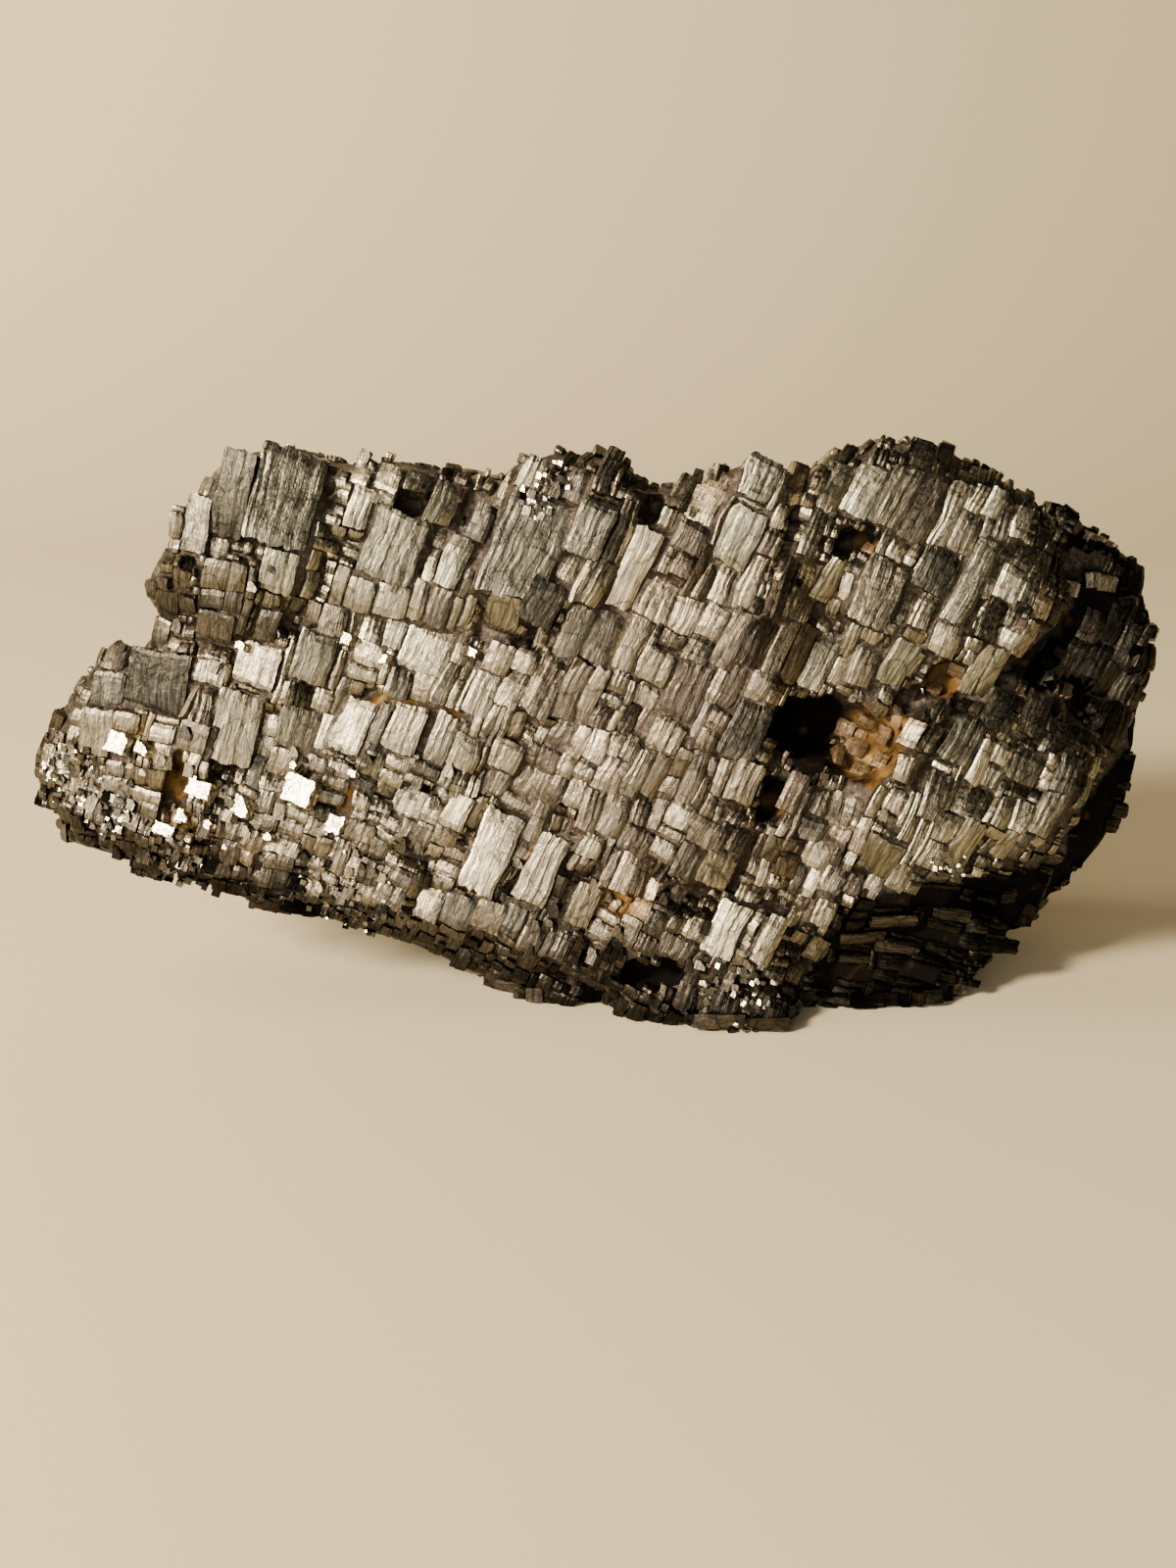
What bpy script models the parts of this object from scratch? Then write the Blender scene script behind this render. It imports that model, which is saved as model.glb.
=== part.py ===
"""Pyrite specimen: one mass of intergrown, striated pyrite crystals that stands on its own foot.

The front is a mosaic of crystal blocks. Their long sides all lean one way, as in parallel growth, and
their cross joints run down to the right. Run with: blender --background --python part.py
"""

import math
import random

import bmesh
import bpy
from mathutils import Matrix, Vector
from mathutils.bvhtree import BVHTree
from mathutils.kdtree import KDTree

# All sizes below are in millimetres, and MM turns them into Blender's metres.
MM = 0.001

# The front face leans back, and is measured on a plane through this height.
LEAN = math.radians(14.0)
FACE_Z = 27.0

# The outlines below are drawn as they are seen from this place in front of the piece.
EYE = Vector((-1.4, -154.2, 73.6))

# Crystal lattice: rows fall to the right. Columns lean to the right, more so from the left to the centre.
ROW_FALL = math.radians(12.0)
COLUMN_LEAN_LEFT = math.radians(12.0)
COLUMN_LEAN_CENTRE = math.radians(25.0)
LEAN_GROWS_FROM = -48.0
LEAN_GROWS_OVER = 42.0

SEED = 4117
REACH = 80.0
ROOT_DEPTH = 2.2
CHAMFER = 0.35
OVERLAP = 0.18
STAND = 2.4
TRIANGLES = 9200
SURFACE = "pyrite_crystal_mass"

# A lobe of the mass: outline on the front plane (x, z), rise of its front above the plane, slope of that
# front per millimetre of x and of z, rounding of its rim, depth of its back (y) and width of its back.
LOBES = {
    "body": dict(
        outline=[(-41, 14.6), (-28, 10.4), (-16, 6.6), (-4, 3.0), (6, 1.4), (15, 2.6), (25, 9.4), (35, 13),
                 (42, 16.5), (45, 22), (44.6, 27), (36.6, 45.4), (25, 50), (8, 48), (-10, 47), (-24, 48),
                 (-34, 47), (-41, 37), (-45, 25)],
        rise=-1.2, slope=(0.0, 0.0), rim=3.0, back=20.0, shrink=0.86),
    "left_tip": dict(
        outline=[(-53.9, 23.4), (-53, 20.4), (-50, 16.8), (-45.6, 15.2), (-36, 12.8), (-34, 27),
                 (-38.5, 34.6), (-46, 35), (-49.8, 31), (-52.6, 26.6)],
        rise=-2.0, slope=(0.2, 0.0), rim=2.4, back=10.0, shrink=0.7),
    "upper_left": dict(
        outline=[(-43.2, 39.4), (-41, 43.4), (-39, 46.8), (-36.4, 50.4), (-33.6, 52.2), (-29.6, 53),
                 (-25.6, 52.2), (-24.4, 44), (-28, 36.8), (-36, 36.6)],
        rise=0.6, slope=(0.03, 0.03), rim=2.0, back=15.0, shrink=0.8, fall=1.5),
    "upper_saddle": dict(
        outline=[(-26, 38), (-25.4, 51.4), (-21, 51.4), (-14, 49.6), (-9, 49), (-8, 38)],
        rise=-0.7, slope=(0.0, 0.0), rim=1.4, back=14.0, shrink=0.8, fall=1.5),
    "middle_top": dict(
        outline=[(-12, 38.6), (-10.4, 49.4), (-8.2, 51.4), (-3.6, 52.6), (1.8, 51.4), (5.2, 49), (4.8, 43),
                 (-1, 37), (-8, 35)],
        rise=0.8, slope=(0.03, 0.0), rim=1.8, back=15.0, shrink=0.8, fall=2.0),
    "centre_ridge": dict(
        outline=[(-8, 30), (-2, 44), (5, 48.8), (11, 50), (14.4, 51.8), (17.8, 50.8), (20.4, 45), (17, 30),
                 (14.6, 18), (10, 11), (2, 11), (-6, 18)],
        rise=0.1, slope=(0.07, 0.0), rim=1.0, back=15.0, shrink=0.8, fall=2.0),
    "upper_right": dict(
        outline=[(19, 50.6), (21.6, 52.6), (25.4, 53.4), (30.4, 53), (35, 51.2), (40.8, 47.8), (41.2, 42),
                 (43.8, 39), (41.4, 34.4), (37, 31.6), (28, 33), (21, 37), (18, 44)],
        rise=0.1, slope=(-0.03, 0.0), rim=1.6, back=17.0, shrink=0.85, fall=2.5),
    "lower_right": dict(
        outline=[(22, 14.4), (33, 13.6), (43, 15.8), (46.4, 20.4), (47.4, 26), (43, 29.8), (35, 30.8),
                 (27, 29), (22.4, 22)],
        rise=0.3, slope=(-0.06, 0.02), rim=2.4, back=18.0, shrink=0.85),
    "set_back_right": dict(
        outline=[(38, 31), (50.6, 29.6), (51.8, 33), (51.4, 35.8), (49.8, 42.4), (45.6, 44.6), (39, 46)],
        rise=-8.6, slope=(0.0, 0.0), rim=0.8, back=23.0, shrink=0.8),
    "right_flank": dict(
        outline=[(30, 8), (37, 7), (43.6, 12.4), (48.4, 18.4), (50, 24), (49.8, 29.6), (42, 32), (30, 24)],
        rise=-8.0, slope=(-0.3, 0.12), rim=2.0, back=25.0, shrink=0.78),
    "under_flank": dict(
        outline=[(16, 0.6), (26, -0.4), (33.4, 1.6), (36, 4.6), (38.6, 8), (36, 15.4), (20, 14.6), (15, 8)],
        rise=-4.8, slope=(-0.1, -0.14), rim=1.0, back=24.0, shrink=0.8, fall=-1.2),
    "front_foot": dict(
        outline=[(1, 0.6), (5, -0.8), (10, -1.8), (16, -2.2), (19, 1.6), (17, 10.6), (9.6, 11.6), (0, 11)],
        rise=0.4, slope=(0.06, -0.02), rim=1.4, back=8.0, shrink=0.9, fall=-1.4),
    "left_foot": dict(
        outline=[(-11, 3.2), (-8.4, 1.6), (-4, 0.6), (4, 0.4), (6, 9), (-6, 13), (-17, 9.4)],
        rise=-4.4, slope=(0.0, 0.12), rim=1.4, back=24.0, shrink=0.85, fall=-1.0),
    "back_boss": dict(
        outline=[(-26, 12), (-8, 7), (14, 6), (24, 18), (20, 36), (2, 42), (-18, 38), (-28, 26)],
        rise=-16.0, slope=(0.0, 0.0), rim=1.0, back=25.4, shrink=0.74),
}

# Cavities cut into the front: (x, z), depth at the bottom, half width, half height, each a rough pocket.
CAVITIES = {
    "upper_cavity": ((23.4, 44.0), 3.4, 2.2, 1.3),
    "main_cavity": ((19.8, 27.4), 6.8, 3.9, 2.9),
    "main_cavity_middle": ((22.4, 26.8), 5.0, 3.2, 2.8),
    "main_cavity_side": ((24.8, 25.4), 4.2, 3.7, 3.3),
    "rusty_cavity": ((32.2, 31.6), 3.0, 2.2, 1.9),
    "rusty_neck": ((29.2, 29.8), 2.4, 1.8, 1.3),
    "set_back_gap": ((42.6, 33.2), 7.6, 2.0, 3.6),
    "small_cavity": ((15.9, 20.6), 3.6, 1.2, 2.2),
    "left_cavity": ((-40.6, 21.4), 1.8, 1.2, 3.6),
    "saddle_cavity": ((-17.4, 47.4), 2.6, 1.9, 1.0),
    "foot_cavity": ((4.6, 4.6), 2.8, 3.4, 1.3),
    "ridge_gap": ((4.6, 47.0), 2.6, 0.9, 1.6),
}

# Open cracks in the front: the points (x, z) that each follows, width of the mouth, depth.
CRACKS = {
    "under_the_upper_left": ([(-44.8, 36.8), (-40.4, 36.0), (-40.6, 35.2), (-35.4, 34.4), (-30.4, 33.4)],
                             1.2, 2.4),
    "rusty_joint": ([(-30.6, 31.0), (-24.2, 29.7), (-24.6, 28.7), (-17.2, 27.0), (-17.6, 26.2),
                     (-9.0, 24.6)], 0.7, 1.5),
    "beside_the_saddle": ([(-25.9, 43.6), (-24.9, 47.6), (-25.4, 49.0), (-24.2, 53.0)], 0.9, 2.2),
    "saddle_to_dome": ([(-13.8, 43.6), (-12.6, 47.0), (-12.2, 47.0), (-11.4, 50.6)], 1.4, 3.0),
    "beside_the_ridge": ([(15.4, 17.4), (16.6, 22.0), (16.8, 26.2), (18.8, 33.0)], 1.2, 2.2),
    "below_the_upper_right": ([(25.6, 31.6), (29.4, 31.0), (30.2, 32.6), (34.0, 32.2), (39.0, 31.0)],
                              0.9, 2.0),
    "ridge_to_upper_right": ([(16.4, 42.0), (17.8, 46.4), (18.2, 49.0), (19.4, 53.0)], 0.9, 2.2),
    "above_the_foot": ([(6.2, 12.4), (9.6, 11.8), (10.0, 12.6), (13.6, 11.8), (17.8, 11.4)], 0.7, 1.5),
}

# Big blocks that stand proud: (x, z) of the centre, width across the column, length along it, rise.
MAIN_BLOCKS = [
    (-34.2, 48.2, 3.8, 8.4, 1.0), (-29.3, 48.0, 6.4, 9.6, 1.2), (-37.6, 45.6, 2.6, 5.6, 0.4),
    (-42.0, 31.6, 6.4, 6.0, 1.5), (-19.4, 43.6, 5.6, 7.0, 0.9), (-13.8, 42.2, 2.4, 5.0, 1.0),
    (-34.6, 27.2, 4.6, 7.0, 0.7), (-27.2, 33.6, 3.8, 5.0, 0.9), (-32.4, 33.0, 4.4, 4.4, 0.6),
    (-23.6, 27.4, 3.6, 5.6, 0.8), (-18.6, 27.2, 3.6, 5.0, 1.3), (-28.4, 21.4, 3.2, 3.0, 1.3),
    (-36.2, 36.4, 4.0, 3.2, 1.1), (-31.4, 36.6, 2.2, 3.2, 1.2), (-7.2, 43.4, 6.2, 10.6, 1.2),
    (-1.2, 45.0, 3.8, 5.2, 1.6), (-5.8, 38.6, 3.8, 4.6, 1.3), (-9.4, 37.6, 3.4, 4.4, 0.8),
    (2.8, 41.6, 3.0, 8.4, 0.9), (4.9, 32.8, 3.4, 3.6, 0.8), (5.9, 26.6, 3.4, 3.6, 0.7),
    (-13.0, 25.0, 3.2, 3.6, 0.9), (-9.2, 24.6, 3.2, 3.2, 0.9), (-10.6, 15.8, 4.0, 8.4, 1.5),
    (-5.8, 14.2, 3.4, 7.2, 1.3), (-1.8, 10.9, 2.4, 4.4, 1.0), (-1.2, 16.4, 2.4, 2.4, 0.9),
    (12.2, 8.4, 4.0, 6.0, 1.8), (15.4, 8.0, 2.4, 5.2, 1.5), (13.3, 27.0, 3.8, 6.0, 0.9),
    (13.2, 22.4, 3.0, 4.4, 1.0), (17.9, 49.0, 1.9, 4.6, 0.9), (14.4, 49.6, 3.4, 4.4, 0.8),
    (25.4, 39.4, 4.4, 6.4, 1.1), (20.8, 40.6, 1.9, 4.6, 0.9), (24.0, 48.4, 2.8, 5.0, 0.7),
    (34.2, 40.4, 2.6, 8.6, 0.8), (31.8, 35.2, 3.0, 3.0, 0.9), (24.2, 32.6, 3.0, 4.0, 1.0),
    (27.7, 33.0, 2.6, 5.0, 0.9), (36.8, 29.0, 2.4, 4.2, 0.9), (40.6, 28.4, 2.6, 4.4, 0.9),
    (39.6, 23.8, 3.2, 3.4, 0.9), (33.6, 26.2, 3.6, 5.0, 0.7), (28.9, 25.0, 2.8, 6.6, 0.9),
    (31.0, 21.0, 2.4, 4.8, 0.7), (26.0, 15.6, 3.8, 4.0, 0.7), (20.8, 10.2, 2.0, 2.8, 1.4),
    (18.0, 21.4, 2.2, 4.0, 1.6), (43.4, 32.6, 1.6, 4.0, 2.0),
]


class Side:
    """One direction the mass is seen from: an origin, two axes in its plane, and the way out."""

    def __init__(self, origin, across, out, fan=False):
        self.origin = Vector(origin)
        self.out = Vector(out).normalized()
        self.across = Vector(across).normalized()
        self.along = self.out.cross(self.across)
        self.fan = fan

    def place(self, p, q, rise):
        return self.origin + self.across * p + self.along * q + self.out * rise


FRONT = Side((0, 0, FACE_Z), (1, 0, 0), (0, -math.cos(LEAN), math.sin(LEAN)), fan=True)
ROW = (math.cos(ROW_FALL), 0, -math.sin(ROW_FALL))
COLUMN = (math.sin(ROW_FALL), 0, math.cos(ROW_FALL))
BACK = Side((0, 10, FACE_Z), (-1, 0, 0), (0, 1, 0), fan=True)
TOP = Side((0, 10, FACE_Z), ROW, COLUMN)
UNDERSIDE = Side((0, 10, FACE_Z), ROW, [-c for c in COLUMN])
RIGHT = Side((0, 10, FACE_Z), (0, 1, 0), ROW)
LEFT = Side((0, 10, FACE_Z), (0, -1, 0), [-c for c in ROW])


def face_height(z):
    """Distance up the leaning plane of a point at world height z."""
    return (z - FACE_Z) / math.cos(LEAN)


def column_lean(u):
    """How far a column of the front lattice leans, at u along its rows."""
    t = min(1.0, max(0.0, (u - LEAN_GROWS_FROM) / LEAN_GROWS_OVER))
    return COLUMN_LEAN_LEFT + (COLUMN_LEAN_CENTRE - COLUMN_LEAN_LEFT) * t * t * (3 - 2 * t)


def lattice(side, u, v):
    """Lattice place (u along the rows, v up the columns) as (p, q) in the side's plane."""
    if not side.fan:
        return u, v
    mirror = 1 if side is FRONT else -1
    lean = column_lean(u * mirror)
    p = u * mirror * math.cos(ROW_FALL) + v * math.sin(lean)
    return p * mirror, -u * mirror * math.sin(ROW_FALL) + v * math.cos(lean)


def lattice_place(x, z):
    """The (u, v) of a point (x, z) of the front plane, by a few steps of correction."""
    u, v = x, face_height(z)
    for _ in range(12):
        p, q = lattice(FRONT, u, v)
        u += x - p
        v += face_height(z) - q
    return u, v


def mesh_object(name, bm):
    mesh = bpy.data.meshes.new(name)
    bm.to_mesh(mesh)
    bm.free()
    made = bpy.data.objects.new(name, mesh)
    bpy.context.scene.collection.objects.link(made)
    return made


def hull(bm, points):
    """Adds the convex hull of the points, in millimetres, to bm."""
    verts = [bm.verts.new(p * MM) for p in points]
    made = bmesh.ops.convex_hull(bm, input=verts)
    loose = {v for v in made["geom_interior"] + made["geom_unused"] if isinstance(v, bmesh.types.BMVert)}
    bmesh.ops.delete(bm, geom=[v for v in loose if v.is_valid], context="VERTS")


def seen_at(x, z, rise):
    """The point that is seen at (x, z) of the front plane, and lies this far in front of it."""
    on_plane = FRONT.place(x, face_height(z), 0.0)
    sight = (on_plane - EYE).normalized()
    return on_plane + sight * (rise / sight.dot(FRONT.out))


def lobe(bm, outline, rise, slope, rim, back, shrink, fall=0.0):
    """A faceted lobe: a front face, a rounded rim and a smaller back, which may lie lower by fall."""
    cx = sum(x for x, _ in outline) / len(outline)
    cz = sum(z for _, z in outline) / len(outline)
    points = []
    for x, z in outline:
        away = Vector((x - cx, z - cz))
        inner = away * (1 - rim / away.length)
        lift = rise + slope[0] * inner.x + slope[1] * inner.y
        points.append(seen_at(cx + inner.x, cz + inner.y, lift))
        points.append(seen_at(x, z, lift - rim * 1.2))
        points.append(Vector((cx + away.x * shrink, back, cz + away.y * shrink - fall)))
    hull(bm, points)


def rough_pocket(bm, place, depth, half_width, half_height, rng):
    """A cutter for a cavity: a many-sided funnel with an uneven mouth, leaning with the columns."""
    lean = column_lean(place[0])
    points = []
    for ring, lift, size in ((0, 6.0, 1.25), (1, -0.5, 1.0), (2, -depth, 0.6)):
        for k in range(7):
            turn = 2 * math.pi * (k + 0.5 * ring) / 7
            p = math.cos(turn) * half_width * size * rng.uniform(0.85, 1.15)
            q = math.sin(turn) * half_height * size * rng.uniform(0.85, 1.15)
            points.append(FRONT.place(place[0] + p + q * math.sin(lean), face_height(place[1]) + q, lift))
    hull(bm, points)


def crack(bm, path, width, depth):
    """Cutters for an open crack: a wedge for each stretch of its path, narrow at both ends of the crack."""
    for n in range(len(path) - 1):
        start, end = [Vector((x, face_height(z))) for x, z in path[n:n + 2]]
        run = (end - start).normalized()
        side = Vector((-run.y, run.x))
        points = []
        for place, at_end in ((start - run * 0.2, n == 0), (end + run * 0.2, n == len(path) - 2)):
            size = 0.4 if at_end else 1.0
            points.append(FRONT.place(place.x, place.y, -depth * size))
            for hand in (-0.5, 0.5):
                lip = place + side * (width * size * hand)
                high = place + side * (width * size * hand * 3)
                points.append(FRONT.place(lip.x, lip.y, 0.0))
                points.append(FRONT.place(high.x, high.y, 5.0))
        hull(bm, points)


def split(cell, seed, target):
    """Splits a lattice cell (u0, u1, v0, v1) across, again and again, down to the size that target gives."""
    u0, u1, v0, v1 = cell
    rng = random.Random(seed)
    width, length = target((u0 + u1) / 2, (v0 + v1) / 2)
    wide, long = (u1 - u0) / width, (v1 - v0) / length
    if max(wide, long) < rng.uniform(1.15, 1.7):
        yield cell, seed
        return
    cut = rng.uniform(0.36, 0.64)
    if wide * rng.uniform(0.75, 1.3) > long:
        halves = (u0, u0 + (u1 - u0) * cut, v0, v1), (u0 + (u1 - u0) * cut, u1, v0, v1)
    else:
        halves = (u0, u1, v0, v0 + (v1 - v0) * cut), (u0, u1, v0 + (v1 - v0) * cut, v1)
    for n, half in enumerate(halves):
        yield from split(half, seed * 2 + 1 + n, target)


def front_target(u, v):
    """Width and length of the front's blocks: small cubes at the lower left, long columns elsewhere."""
    x, q = lattice(FRONT, u, v)
    z = FACE_Z + q * math.cos(LEAN)
    if x < -14 and z < 24:
        return 3.2, 3.2
    if x < -14:
        return 3.9, 4.6
    if z < 14:
        return 3.6, 3.8
    return 3.4, 5.6


def coarse_target(u, v):
    return 9.5, 10.5


def edge_target(u, v):
    return 6.2, 7.4


def rise_at(tree, side, p, q):
    """How far out the mass reaches over the side's plane at (p, q), or None past its edge."""
    place, _, _, away = tree.ray_cast(side.place(p, q, REACH) * MM, -side.out)
    return None if place is None else REACH - away / MM


def base_plane(tree, side, p, q, span, follow):
    """Rise and slope of the mass around (p, q), its slope scaled by follow."""
    middle = rise_at(tree, side, p, q)
    if middle is None:
        return None
    slopes = []
    for dp, dq in ((span, 0), (0, span)):
        low = rise_at(tree, side, p - dp, q - dq)
        high = rise_at(tree, side, p + dp, q + dq)
        known = [r for r in (low, high) if r is not None and abs(r - middle) < 3 * span]
        if len(known) == 2:
            slopes.append(follow * (high - low) / (2 * span))
        else:
            slopes.append(0.0)
    return middle, slopes[0], slopes[1]


def block(bm, tree, side, corners, plane, centre, chamfer):
    """One crystal block: four corners in the side's plane, a flat or chamfered top, a root in the mass."""
    rise, slope_p, slope_q = plane
    root, stand = rise, 0.0
    for p, q in corners:
        mass_rise = rise_at(tree, side, p, q)
        if mass_rise is not None:
            top = rise + slope_p * (p - centre[0]) + slope_q * (q - centre[1])
            root = min(root, mass_rise)
            stand = max(stand, top - mass_rise)
    if stand > STAND:
        rise -= stand - STAND
    root = min(root, rise) - ROOT_DEPTH
    points = []
    for p, q in corners:
        away = Vector((centre[0] - p, centre[1] - q))
        inner = Vector((p, q)) + away * (chamfer * 1.6 / max(away.length, chamfer * 3, 0.1))
        rings = ((inner, 0.0), ((p, q), chamfer)) if chamfer else (((p, q), 0.0),)
        for (a, b), drop in rings:
            lift = rise + slope_p * (a - centre[0]) + slope_q * (b - centre[1])
            points.append(side.place(a, b, max(lift - drop, root + 0.5)))
        points.append(side.place(p, q, root))
    hull(bm, points)


def trimmed(tree, side, cell):
    """The cell cut back, a fifth at a time, until all its corners lie on the mass, or None."""
    cell = list(cell)
    ends = ((0, 2), (1, 2), (1, 3), (0, 3))
    full = cell[1] - cell[0], cell[3] - cell[2]
    for _ in range(9):
        misses = [k for k in ends if rise_at(tree, side, *lattice(side, cell[k[0]], cell[k[1]])) is None]
        if not misses:
            return cell
        if cell[1] - cell[0] < 0.4 * full[0] or cell[3] - cell[2] < 0.4 * full[1]:
            return None
        worst = max(range(4), key=lambda k: sum(k in miss for miss in misses))
        opposite = worst ^ 1
        cell[worst] += (cell[opposite] - cell[worst]) * 0.2
    return None


def corners_of(side, cell, rng, drift):
    """The centre and the four corners of a cell in the side's plane, the corners shaken a little."""
    u0, u1, v0, v1 = cell
    centre = lattice(side, (u0 + u1) / 2, (v0 + v1) / 2)
    corners = []
    for u, v in ((u0, v0), (u1, v0), (u1, v1), (u0, v1)):
        corners.append(lattice(side, u + rng.uniform(-drift, drift), v + rng.uniform(-drift, drift)))
    return centre, corners


def clad(bm, tree, side, area, target, seed, lift, tilt, skip=()):
    """Covers one side of the mass with blocks, but for the rooms (u, v, half width, half length) in skip."""
    for cell, cell_seed in split(area, seed, target):
        rng = random.Random(cell_seed + 7)
        u, v = (cell[0] + cell[1]) / 2, (cell[2] + cell[3]) / 2
        if any(abs(u - su) < hw and abs(v - sv) < hl for su, sv, hw, hl in skip):
            continue
        cell = trimmed(tree, side, cell)
        if cell is None:
            continue
        grown = cell[0] - OVERLAP, cell[1] + OVERLAP, cell[2] - OVERLAP, cell[3] + OVERLAP
        centre, corners = corners_of(side, grown, rng, 0.2)
        plane = base_plane(tree, side, *centre, 1.2, 0.7)
        if plane is None:
            continue
        rise, slope_p, slope_q = plane
        top = rise + rng.uniform(*lift), slope_p + rng.gauss(0, tilt), slope_q + rng.gauss(0, tilt)
        if max(abs(top[1]), abs(top[2])) < 1.1:
            block(bm, tree, side, corners, top, centre, 0.0)


def main_blocks(bm, tree):
    """The big blocks of the front. Returns the lattice room that each takes."""
    rooms = []
    for n, (x, z, width, length, lift) in enumerate(MAIN_BLOCKS):
        rng = random.Random(SEED + 31 * n)
        u, v = lattice_place(x, z)
        cell = trimmed(tree, FRONT, (u - width / 2, u + width / 2, v - length / 2, v + length / 2))
        if cell is None:
            continue
        centre, corners = corners_of(FRONT, cell, rng, 0.2)
        plane = base_plane(tree, FRONT, *centre, 1.6, 0.7)
        if plane is None:
            continue
        rise, slope_p, slope_q = plane
        top = rise + lift, slope_p + rng.gauss(0, 0.03), slope_q + rng.gauss(0, 0.03)
        block(bm, tree, FRONT, corners, top, centre, CHAMFER if width > 3.3 else 0.0)
        rooms.append((u, v, width / 2, length / 2))
    return rooms


def boolean(target, cutter, operation, self_crossing=False):
    """Joins or cuts target with cutter, and removes the cutter."""
    modifier = target.modifiers.new(cutter.name, "BOOLEAN")
    modifier.operation = operation
    modifier.solver = "EXACT"
    modifier.use_self = self_crossing
    modifier.object = cutter
    bpy.context.view_layer.update()
    graph = bpy.context.evaluated_depsgraph_get()
    result = bpy.data.meshes.new_from_object(target.evaluated_get(graph))
    target.modifiers.remove(modifier)
    target.data = result
    bpy.data.objects.remove(cutter)


def tidy(mass):
    """Keeps the outer skin alone, and merges the slivers that the joins leave."""
    bm = bmesh.new()
    bm.from_mesh(mass.data)
    left = set(bm.faces)
    skins = []
    while left:
        skin = [left.pop()]
        for face in skin:
            for edge in face.edges:
                near = [f for f in edge.link_faces if f in left]
                left.difference_update(near)
                skin.extend(near)
        skins.append(skin)
    skins.sort(key=len)
    bmesh.ops.delete(bm, geom=[f for skin in skins[:-1] for f in skin], context="FACES")
    bmesh.ops.triangulate(bm, faces=bm.faces[:])
    count = len(bm.faces)
    bm.to_mesh(mass.data)
    bm.free()
    thin = mass.modifiers.new("thin", "DECIMATE")
    thin.ratio = min(1.0, TRIANGLES / count)
    graph = bpy.context.evaluated_depsgraph_get()
    result = bpy.data.meshes.new_from_object(mass.evaluated_get(graph))
    mass.modifiers.remove(thin)
    mass.data = result


def part_the_touching(mass, gap):
    """Where two sheets of the skin all but touch at a point, draws both back into the mass by the gap."""
    bm = bmesh.new()
    bm.from_mesh(mass.data)
    bm.normal_update()
    bm.verts.ensure_lookup_table()
    near = KDTree(len(bm.verts))
    for vert in bm.verts:
        near.insert(vert.co, vert.index)
    near.balance()
    touching = set()
    for vert in bm.verts:
        joined = {edge.other_vert(vert).index for edge in vert.link_edges}
        for _, other, _ in near.find_range(vert.co, gap * 0.4 * MM):
            if other != vert.index and other not in joined:
                touching.add(vert)
    for vert in touching:
        vert.co -= vert.normal * (gap * MM)
    bm.to_mesh(mass.data)
    bm.free()


def centre_on_origin(mass):
    """Moves the piece so that the middle of its footprint box stands over the origin."""
    xs = [v.co.x for v in mass.data.vertices]
    ys = [v.co.y for v in mass.data.vertices]
    mass.data.transform(Matrix.Translation((-(min(xs) + max(xs)) / 2, -(min(ys) + max(ys)) / 2, 0.0)))


def core():
    """The lobes of the mass, as separate closed hulls in one mesh."""
    bm = bmesh.new()
    for shape in LOBES.values():
        lobe(bm, **shape)
    return bm


def cladding(tree):
    """Every crystal block, on all sides."""
    bm = bmesh.new()
    rooms = main_blocks(bm, tree)
    clad(bm, tree, FRONT, (-64, 62, -34, 36), front_target, SEED, (0.0, 1.3), 0.05, rooms)
    clad(bm, tree, BACK, (-62, 64, -34, 36), coarse_target, SEED + 1, (-0.4, 1.4), 0.06)
    clad(bm, tree, TOP, (-58, 58, 0, 24), edge_target, SEED + 2, (-0.6, 0.2), 0.05)
    clad(bm, tree, UNDERSIDE, (-58, 58, -24, 12), edge_target, SEED + 3, (-0.7, 1.3), 0.03)
    clad(bm, tree, RIGHT, (-7, 24, -32, 32), edge_target, SEED + 4, (-0.5, 0.3), 0.06)
    clad(bm, tree, LEFT, (-24, 5, -32, 32), edge_target, SEED + 5, (-0.5, 0.3), 0.06)
    return bm


def cavities():
    bm = bmesh.new()
    for n, (place, depth, half_width, half_height) in enumerate(CAVITIES.values()):
        rough_pocket(bm, place, depth, half_width, half_height, random.Random(SEED + n))
    for line in CRACKS.values():
        crack(bm, *line)
    return mesh_object("cavity_cutters", bm)


def floor_cutter():
    """A slab whose top is the floor: it leaves the foot with flat faces to stand on."""
    bm = bmesh.new()
    size = 200.0
    corners = [(x, y, z) for x in (-size, size) for y in (-size, size) for z in (-60.0, 0.0)]
    hull(bm, [Vector(c) for c in corners])
    return mesh_object("floor_cutter", bm)


def pyrite():
    """Tarnished pyrite: a dull, brassy grey metal."""
    material = bpy.data.materials.new("pyrite")
    material.use_nodes = True
    shader = material.node_tree.nodes["Principled BSDF"]
    shader.inputs["Base Color"].default_value = (0.42, 0.38, 0.29, 1.0)
    shader.inputs["Metallic"].default_value = 1.0
    shader.inputs["Roughness"].default_value = 0.4
    return material


def main():
    for old in list(bpy.data.objects):
        bpy.data.objects.remove(old)
    lobes = core()
    tree = BVHTree.FromBMesh(lobes)
    mass = mesh_object(SURFACE, lobes)
    blocks = mesh_object("blocks", cladding(tree))
    boolean(mass, blocks, "UNION", self_crossing=True)
    boolean(mass, cavities(), "DIFFERENCE", self_crossing=True)
    tidy(mass)
    part_the_touching(mass, 0.02)
    boolean(mass, floor_cutter(), "DIFFERENCE")
    centre_on_origin(mass)
    mass.data.name = SURFACE
    mass.data.materials.clear()
    mass.data.materials.append(pyrite())


main()
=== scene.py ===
"""Looks of the pyrite specimen: striated crystals, druse, dark groundmass and rusty hollows.

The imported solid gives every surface. Crystal blocks are laid out on it in the rows and columns of the crystal
lattice, and Geometry Nodes grow one small striated form at each place.
"""

import math
import random
from functools import partial

import bmesh
import bpy
import numpy as np
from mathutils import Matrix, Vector, noise
from mathutils.bvhtree import BVHTree


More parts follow.
